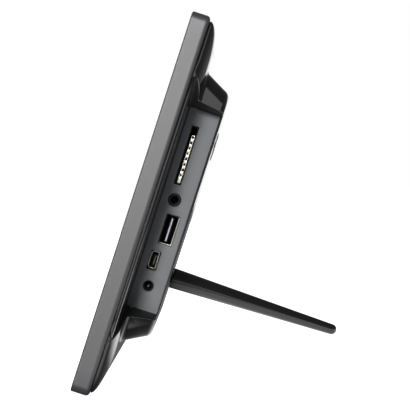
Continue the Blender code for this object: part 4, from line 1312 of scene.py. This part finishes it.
@dataclass(frozen=True)
class Key:
    """A gloss key cap with a softly domed top, a flange under the cover and a stem."""

    name: str
    shape: KeyShape
    x: float = 0.0
    turned: float = 0.0  # degrees of the sector's middle
    oblong: tuple[float, float] = (4.0, 2.4)  # half length and half height
    button: float = 2.7
    ring: tuple[float, float] = (3.4, 7.0)  # inner and outer radius of the keys round the button
    half_gap: float = 0.3  # between two of them
    stem_ring: float = 5.2
    stem: float = 0.9
    top: float = 25.5
    flange_back: float = 22.7
    flange_front: float = 22.2
    stem_end: float = 21.9
    edge: float = 0.5
    dome: float = 0.12
    dome_reach: float = 0.9

    def outline(self, inset: float) -> np.ndarray:
        """The cap's outline: a button, an oblong, or a sector whose sides keep an even gap.

        Args:
            inset: How far it is moved inwards.

        Returns:
            A ring of (x, h).
        """
        if self.shape is KeyShape.OBLONG:
            length, height = self.oblong
            section = np.array([[length - inset, height - inset, height - 0.01 - inset, KEYS_HEIGHT]])
            return rounded_rings(section, 10, 3)[0] + np.array([self.x, 0.0])
        if self.shape is KeyShape.ROUND:
            angle = np.linspace(0.0, 2 * np.pi, 48, endpoint=False)
            radius = np.full(48, self.button - inset)
        else:
            arc, rise = np.ones(20), np.linspace(0.0, 1.0, 7)[1:-1]
            sweep, side = np.linspace(-1.0, 1.0, 20), np.ones(5)
            inner, outer = self.ring[0] + inset, self.ring[1] - inset
            radius = np.concatenate([outer * arc, outer + (inner - outer) * rise, inner * arc,
                                     inner + (outer - inner) * rise])
            share = np.concatenate([sweep, side, sweep[::-1], -side])
            half = np.pi / 4 - np.arcsin((self.half_gap + inset) / radius)
            angle = math.radians(self.turned) + share * half
        return np.stack([radius * np.cos(angle), KEYS_HEIGHT + radius * np.sin(angle)], 1)

    def middle(self) -> np.ndarray:
        """The stem's place in the plan.

        Returns:
            One point of (x, h).
        """
        if self.shape is KeyShape.SECTOR:
            angle, radius = math.radians(self.turned), self.stem_ring
            return np.array([radius * math.cos(angle), KEYS_HEIGHT + radius * math.sin(angle)])
        return np.array([self.x, KEYS_HEIGHT])

    def build(self, placement: Placement) -> bpy.types.Object:
        """Loft stem, flange and cap, round the cap's edge by a quarter circle and dome it by a parabola.

        Args:
            placement: The lean of the frame.

        Returns:
            The finished key.
        """
        spoke = self.outline(0.0) - self.middle()
        stem = self.middle() + self.stem * spoke / np.linalg.norm(spoke, axis=1)[:, None]
        flange = self.outline(-FLANGE_REACH[self.shape])
        plans = [stem, stem, flange, flange, self.outline(0.0)]
        depths = [self.stem_end, self.flange_front, self.flange_front, self.flange_back, self.flange_back]
        for turn in np.linspace(0.0, np.pi / 2, 7):
            plans.append(self.outline(self.edge * (1 - math.cos(turn))))
            depths.append(self.top - self.dome - self.edge * (1 - math.sin(turn)))
        for share in (0.35, 0.7, 1.0):
            plans.append(self.outline(self.edge + self.dome_reach * share))
            depths.append(self.top - self.dome * (1 - share) ** 2)
        rings = rearward_rings(plans, depths)
        thing = add_loft(f"{self.name}_domed", rings, placement, (GLOSS_BLACK,), sharp=50.0)
        return settle(thing, f"{self.name}_cap", [self.name])


def all_keys() -> list[Key]:
    """The round key, the four round it and the two beside them.

    Returns:
        The keys, not yet built.
    """
    ring = [Key(f"key_{name}", KeyShape.SECTOR, turned=angle)
            for name, angle in (("right", 0.0), ("up", 90.0), ("left", 180.0), ("down", 270.0))]
    sides = [Key("key_menu", KeyShape.OBLONG, -SIDE_KEY_X), Key("key_power", KeyShape.OBLONG, SIDE_KEY_X)]
    return [Key("key_ok", KeyShape.ROUND), *ring, *sides]


@dataclass(frozen=True)
class CaseScrew:
    """A pan-head screw with a crossed recess and a helical thread, driven from the rear."""

    number: int
    x: float
    height: float
    head: float = 2.2
    head_round: tuple[float, float] = (0.7, 0.8)  # inwards and down
    bar: tuple[float, float] = (1.2, 0.3)  # half length and half width of each bar of the recess
    bar_depth: float = 0.9
    bar_taper: float = 0.62
    shank: float = 1.2
    core: float = 0.9
    thread: float = 0.28
    pitch: float = 1.0
    tip: float = 0.3
    point: float = 3.4
    seat: float = 9.7
    top: float = 11.0
    sides: int = 48

    def build(self, placement: Placement) -> bpy.types.Object:
        """Loft point, thread, head and recess.

        The thread's depth is a triangle wave of depth / pitch - angle / turn, and the recess is the larger of
        two crossed bars' polar radii.

        Args:
            placement: The lean of the frame.

        Returns:
            The finished screw.
        """
        angle = np.linspace(0.0, 2 * np.pi, self.sides, endpoint=False) + 0.01
        even = np.ones(self.sides)
        rows = [(self.tip * even, self.point)]
        for depth in np.arange(self.point + 1.0, self.seat - 0.2, self.pitch / 8):
            wave = np.abs(((depth / self.pitch - angle / (2 * np.pi)) % 1.0) * 2 - 1)
            rows.append((self.shank - self.thread * wave, float(depth)))
        rows += [(self.core * even, self.seat), (self.head * even, self.seat)]
        inward, down = self.head_round
        for turn in np.linspace(0.0, np.pi / 2, 7):
            radius = self.head - inward * (1 - math.cos(turn))
            rows.append((radius * even, self.top - down * (1 - math.sin(turn))))
        long, wide = self.bar
        across, along = np.abs(np.cos(angle)), np.abs(np.sin(angle))
        cross = np.maximum(np.minimum(long / across, wide / along), np.minimum(wide / across, long / along))
        rows += [(cross, self.top), (self.bar_taper * cross, self.top - self.bar_depth)]
        spokes = np.stack([np.cos(angle), np.sin(angle)], 1)
        plans = [radius[:, None] * spokes + np.array([self.x, self.height]) for radius, _ in rows]
        rings = rearward_rings(plans, [depth for _, depth in rows])
        name = f"case_screw_driven_{self.number}"
        thing = add_loft(name, rings, placement, (STEEL_SHEET,), sharp=30.0)
        return settle(thing, "frame", [f"case_screw_{self.number}"])


@dataclass(frozen=True)
class DisplayPanel:
    """The display's front: a black printed border round the unlit picture area."""

    half: tuple[float, float] = (85.2, 65.2)
    picture: tuple[float, float] = (80.2, 60.2)
    corner: float = 0.8
    picture_corner: float = 0.3
    edge: float = 0.15
    flat: float = 0.4
    front: float = 2.3
    back: float = 3.5

    def build(self, placement: Placement) -> bpy.types.Object:
        """Loft the glass from its back to its front, and in to the picture area.

        Args:
            placement: The lean of the frame.

        Returns:
            The finished glass.
        """
        insets = (0.0, 0.0, self.edge, self.edge + self.flat)
        middle = HEIGHT / 2
        sections = [(self.half[0] - inset, self.half[1] - inset, self.corner, middle) for inset in insets]
        sections += [(*self.picture, self.picture_corner, middle)]
        plans = list(rounded_rings(np.array(sections), 4, 12))
        rings = rearward_rings(plans, [self.back, self.front + self.edge, self.front, self.front, self.front])
        finishes = (DISPLAY_GLASS, LCD_DARK)
        thing = add_loft("display_front_glass", rings, placement, finishes, [0, 0, 0, 0, 0, 1])
        return settle(thing, "frame", ["lcd_glass"])


@dataclass(frozen=True)
class Washer:
    """The leg's neoprene washer, its section a rounded rectangle."""

    middle: tuple[float, float] = (3.65, 24.15)  # radius and depth of the section's centre
    half: tuple[float, float] = (0.95, 0.35)
    corner: float = 0.2
    sides: int = 64

    def build(self, placement: Placement) -> bpy.types.Object:
        """Carry the section round the leg's axis.

        Args:
            placement: The lean of the frame.

        Returns:
            The finished washer.
        """
        section = rounded_rings(np.array([[*self.half, self.corner, 0.0]]), 5, 1)[0] + np.array(self.middle)
        angle = np.linspace(0.0, 2 * np.pi, self.sides, endpoint=False)[None]
        radius, depth = section[:, :1], section[:, 1:]
        height = LEG_HEIGHT + radius * np.sin(angle)
        rings = np.stack(np.broadcast_arrays(radius * np.cos(angle), depth, height), -1)
        thing = add_loft("leg_washer_ring", rings, placement, (NEOPRENE,), closed=True)
        return settle(thing, "washer", ["leg_washer"])


# ---- Leg ----


@dataclass(frozen=True)
class Leg:
    """The tapered leg with its rounded tip and the threaded stud that screws into the cover."""

    length: float = 83.57
    root: float = 4.95
    root_round: tuple[float, float] = (0.5, 0.6)  # inwards and along
    tip: float = 2.55
    stud: float = 2.4
    stud_length: float = 7.5
    collar: float = 0.25  # how far the stud's collar stands out, and its length
    undercut: float = 0.3
    plain: float = 0.35  # unthreaded length at each end of the stud
    end_bevel: float = 0.55
    pitch: float = 0.8
    thread: float = 0.32
    sides: int = 72

    def profile(self) -> np.ndarray:
        """Radius and distance along the leg, from the middle of its tip to the middle of the stud's end.

        Returns:
            Rows of (radius, distance), the tip a quarter circle and the root a small round.
        """
        turn = np.linspace(0.0, np.pi / 2, 12)
        tip = np.stack([self.tip * np.sin(turn), self.length - self.tip * (1 - np.cos(turn))], 1)
        run = np.linspace(0.0, 1.0, 40)[1:, None]
        inward, back = self.root_round
        taper = tip[-1] * (1 - run) + np.array([self.root, back]) * run
        root_turn = np.linspace(0.0, np.pi / 2, 7)[1:]
        edge = np.stack([self.root - inward * (1 - np.cos(root_turn)), back - back * np.sin(root_turn)], 1)
        neck = np.array([[self.stud + self.collar, 0.0], [self.stud - self.undercut, -self.collar]])
        steps = np.arange(-self.plain, self.plain - self.stud_length, -self.pitch / 10)
        stud = np.stack([np.full(len(steps), self.stud), steps], 1)
        end = np.array([[self.stud - self.end_bevel, -self.stud_length], [0.0, -self.stud_length]])
        return np.concatenate([tip, taper, edge, neck, stud, end])

    def build(self, placement: Placement) -> bpy.types.Object:
        """Turn the profile about the leg's axis, and close it to two poles.

        The depth of the stud's helical groove is a triangle wave of distance / pitch - angle / turn.

        Args:
            placement: The lean of the frame.

        Returns:
            The finished leg.
        """
        profile = self.profile()
        angle = np.linspace(0.0, 2 * np.pi, self.sides, endpoint=False)[None]
        radius, along = profile[1:-1, :1], profile[1:-1, 1:]
        near = self.plain - 0.01
        threaded = (along < -near) & (along > near - self.stud_length)
        wave = np.abs(((along / self.pitch - angle / (2 * np.pi)) % 1.0) * 2 - 1)
        radius = np.where(threaded, radius - self.thread * wave, radius)
        x, depth, height = np.broadcast_arrays(radius * np.cos(angle), LEG_DEPTH + along,
                                               LEG_HEIGHT + radius * np.sin(angle))
        poles = np.array([[0.0, LEG_DEPTH + distance, LEG_HEIGHT] for distance in profile[[0, -1], 1]])
        rows = len(profile) - 2
        faces = grid_faces(rows, self.sides, False, True).tolist()
        around = np.arange(self.sides)
        after = (around + 1) % self.sides
        last, pole = (rows - 1) * self.sides, np.full(self.sides, rows * self.sides)
        faces += np.stack([after, around, pole], 1).tolist()
        faces += np.stack([last + around, last + after, pole + 1], 1).tolist()
        points = placement.points(np.concatenate([np.stack([x, depth, height], -1).reshape(-1, 3), poles]))
        thing = add_mesh("stand_leg_turned", points, facing_out(points, faces), GLOSS_BLACK, 30.0)
        return settle(thing, "leg", ["stand_leg"])


# ---- Studio ----

WHITE = (1.0, 1.0, 1.0, 1.0)


@dataclass(frozen=True)
class Glow:
    """A round soft light in the sky, brightest towards its direction and gone at its edge."""

    toward: tuple[float, float, float]
    edge: float  # degrees from its direction at which it ends
    core: float  # degrees within which it is full
    strength: float


@dataclass
class Studio:
    """A pale floor, a pale sky with soft lights, and the camera."""

    placement: Placement
    distance: float = 684.0
    aim_depth: float = 29.43
    aim_height: float = 90.2
    roll: float = 17.9  # degrees
    lens: float = 124.1
    base: float = 0.14
    glows: tuple[Glow, ...] = (
        Glow((-1.0, 0.12, 0.05), 28.0, 8.0, 1.0),  # faint and broad, grazing the rear face from the far side
        Glow((1.0, -0.19, 0.22), 8.0, 3.0, 140.0),  # small and strong, on the side with the sockets
    )
    floor_seen: float = 1.4  # strength of the floor to the eye
    floor_bright: float = 1.6  # its strengths in reflections
    floor_dim: float = 0.12
    slant: tuple[float, float, float] = (1.0, -0.38, 0.0)
    strip_start: tuple[float, float] = (0.114, 0.130)  # metres along the slant, where a bright strip fades in
    strip_end: tuple[float, float] = (0.45, 0.9)  # metres along x, where it fades out
    strip_rear: tuple[float, float] = (-0.01, 0.02)  # metres along y, where it fades in
    patches: tuple[tuple[tuple[float, float], tuple[float, float]], ...] = (
        ((0.02, 0.035), (0.045, 0.085)),  # under the leg: its centre, and where it starts and ends fading
        ((0.122, -0.020), (0.018, 0.034)),  # beside the foot of the cover
    )

    def camera(self) -> bpy.types.Object:
        """Set the camera square to the side of the frame, turned about its own axis.

        Returns:
            The scene's camera.
        """
        data = bpy.data.cameras.new("camera")
        data.lens = self.lens
        data.sensor_width = 36.0
        data.clip_start, data.clip_end = 0.01, 20.0
        thing = bpy.data.objects.new("camera", data)
        bpy.context.scene.collection.objects.link(thing)
        lean = math.radians(self.roll)
        up = self.placement.direction(0.0, -math.sin(lean), math.cos(lean))
        back = Vector((1.0, 0.0, 0.0))
        turn = Matrix((up.cross(back), up, back)).transposed()
        place = self.placement.point(self.distance, self.aim_depth, self.aim_height)
        thing.matrix_world = Matrix.Translation(place) @ turn.to_4x4()
        bpy.context.scene.camera = thing
        return thing

    def sky(self) -> None:
        """Light the world: a dim base and round glows for the object, plain white behind it."""
        world = bpy.data.worlds.new("studio")
        bpy.context.scene.world = world
        world.use_nodes = True
        tree = world.node_tree
        tree.nodes.clear()
        ray = add_node(tree, "ShaderNodeTexCoord").outputs["Generated"]
        total = None
        for glow in self.glows:
            toward = self.placement.direction(*glow.toward)
            dot = add_node(tree, "ShaderNodeVectorMath", {0: ray, 1: tuple(toward)}, operation="DOT_PRODUCT")
            span = (math.cos(math.radians(glow.edge)), math.cos(math.radians(glow.core)))
            share = self.ramp(tree, dot.outputs["Value"], span, 0.0, glow.strength)
            added = {0: share, 1: self.base if total is None else total}
            total = add_node(tree, "ShaderNodeMath", added, operation="ADD").outputs["Value"]
        studio = add_node(tree, "ShaderNodeBackground", {"Color": WHITE, "Strength": total})
        plain = add_node(tree, "ShaderNodeBackground", {"Color": WHITE, "Strength": 1.0})
        seen = add_node(tree, "ShaderNodeLightPath").outputs["Is Camera Ray"]
        mix = add_node(tree, "ShaderNodeMixShader", {0: seen, 1: studio.outputs[0], 2: plain.outputs[0]})
        add_node(tree, "ShaderNodeOutputWorld", {"Surface": mix.outputs[0]})

    def ramp(self, tree: bpy.types.NodeTree, value: bpy.types.NodeSocket, span: tuple[float, float],
             start: float, end: float) -> bpy.types.NodeSocket:
        """A smooth change, 3 t t - 2 t t t, while a value crosses a span.

        Args:
            tree: The node tree.
            value: The value.
            span: Where the change begins and ends.
            start: The result before it.
            end: The result after it.

        Returns:
            The result's socket.
        """
        limits = {"Value": value, "From Min": span[0], "From Max": span[1], "To Min": start, "To Max": end}
        return add_node(tree, "ShaderNodeMapRange", limits, interpolation_type="SMOOTHSTEP").outputs["Result"]

    def floor(self) -> bpy.types.Object:
        """Lay a wide floor: plain white to the eye, bright or dim in reflections.

        Returns:
            The floor, which belongs to the stage.
        """
        material = bpy.data.materials.new("studio_floor")
        material.use_nodes = True
        tree = material.node_tree
        tree.nodes.clear()
        place = add_node(tree, "ShaderNodeTexCoord").outputs["Object"]
        slant = add_node(tree, "ShaderNodeVectorMath", {0: place, 1: self.slant}, operation="DOT_PRODUCT")
        parts = add_node(tree, "ShaderNodeSeparateXYZ", {"Vector": place}).outputs
        strip = self.ramp(tree, slant.outputs["Value"], self.strip_start, 0.0, 1.0)
        for share in (self.ramp(tree, parts["X"], self.strip_end, self.floor_bright, 0.0),
                      self.ramp(tree, parts["Y"], self.strip_rear, 0.0, 1.0)):
            strip = add_node(tree, "ShaderNodeMath", {0: strip, 1: share}, operation="MULTIPLY").outputs[0]
        lit = strip
        for centre, span in self.patches:
            away = add_node(tree, "ShaderNodeVectorMath", {0: place, 1: (*centre, 0.0)}, operation="DISTANCE")
            patch = self.ramp(tree, away.outputs["Value"], span, self.floor_bright, 0.0)
            lit = add_node(tree, "ShaderNodeMath", {0: lit, 1: patch}, operation="MAXIMUM").outputs[0]
        near = add_node(tree, "ShaderNodeMath", {0: lit, 1: self.floor_dim}, operation="ADD").outputs[0]
        seen = add_node(tree, "ShaderNodeLightPath").outputs["Is Camera Ray"]
        strength = add_node(tree, "ShaderNodeMix", {0: seen, 2: near, 3: self.floor_seen}).outputs[0]
        glow = add_node(tree, "ShaderNodeEmission", {"Color": WHITE, "Strength": strength})
        soft = add_node(tree, "ShaderNodeBsdfDiffuse", {"Color": (0.10, 0.10, 0.10, 1.0)})
        both = add_node(tree, "ShaderNodeAddShader", {0: glow.outputs[0], 1: soft.outputs[0]})
        add_node(tree, "ShaderNodeOutputMaterial", {"Surface": both.outputs[0]})
        reach, below = 6.0, 0.0002
        mesh = bpy.data.meshes.new("studio_floor")
        corners = [(x * reach, y * reach, -below) for x, y in ((-1, -1), (1, -1), (1, 1), (-1, 1))]
        mesh.from_pydata(corners, [], [(0, 1, 2, 3)])
        mesh.materials.append(material)
        thing = bpy.data.objects.new("studio_floor", mesh)
        bpy.context.scene.collection.objects.link(thing)
        return thing


# ---- The whole ----


def dress_nodes(nodes: dict[str, bpy.types.Object]) -> None:
    """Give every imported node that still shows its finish, steel where no other is stated.

    Args:
        nodes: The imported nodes' objects, by name.
    """
    finish_of = {name: finish for finish, names in NODE_FINISHES.items() for name in names}
    for name, thing in sorted(nodes.items()):
        if thing.hide_render:
            continue
        finish = finish_of.get(name, STEEL_SHEET)
        thing.data.materials.clear()
        thing.data.materials.append(finish.material())
        LOG.info("%s: packed node in %s", name, finish.name)


def main() -> None:
    """Build the frame's pieces in order, then the studio."""
    logging.basicConfig(level=logging.INFO, format="%(name)s: %(message)s")
    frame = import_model()
    placement = Placement.from_joints(frame["joints"])
    studio = Studio(placement)
    studio.camera()
    RearCover(placement).build()
    Bezel(placement).build()
    PiercedPlate.port_panel().build(placement)
    Leg().build(placement)
    Washer().build(placement)
    for socket in all_sockets():
        socket.build(placement)
    for key in all_keys():
        key.build(placement)
    places = [(side * SCREW_X, height) for side in (-1, 1) for height in SCREW_HEIGHTS]
    for number, (x, height) in enumerate(places, 1):
        CaseScrew(number, x, height).build(placement)
    DisplayPanel().build(placement)
    dress_nodes(frame["nodes"])
    studio.sky()
    studio.floor()
    bpy.context.scene.view_settings.view_transform = "Standard"


if __name__ == "__main__":
    main()
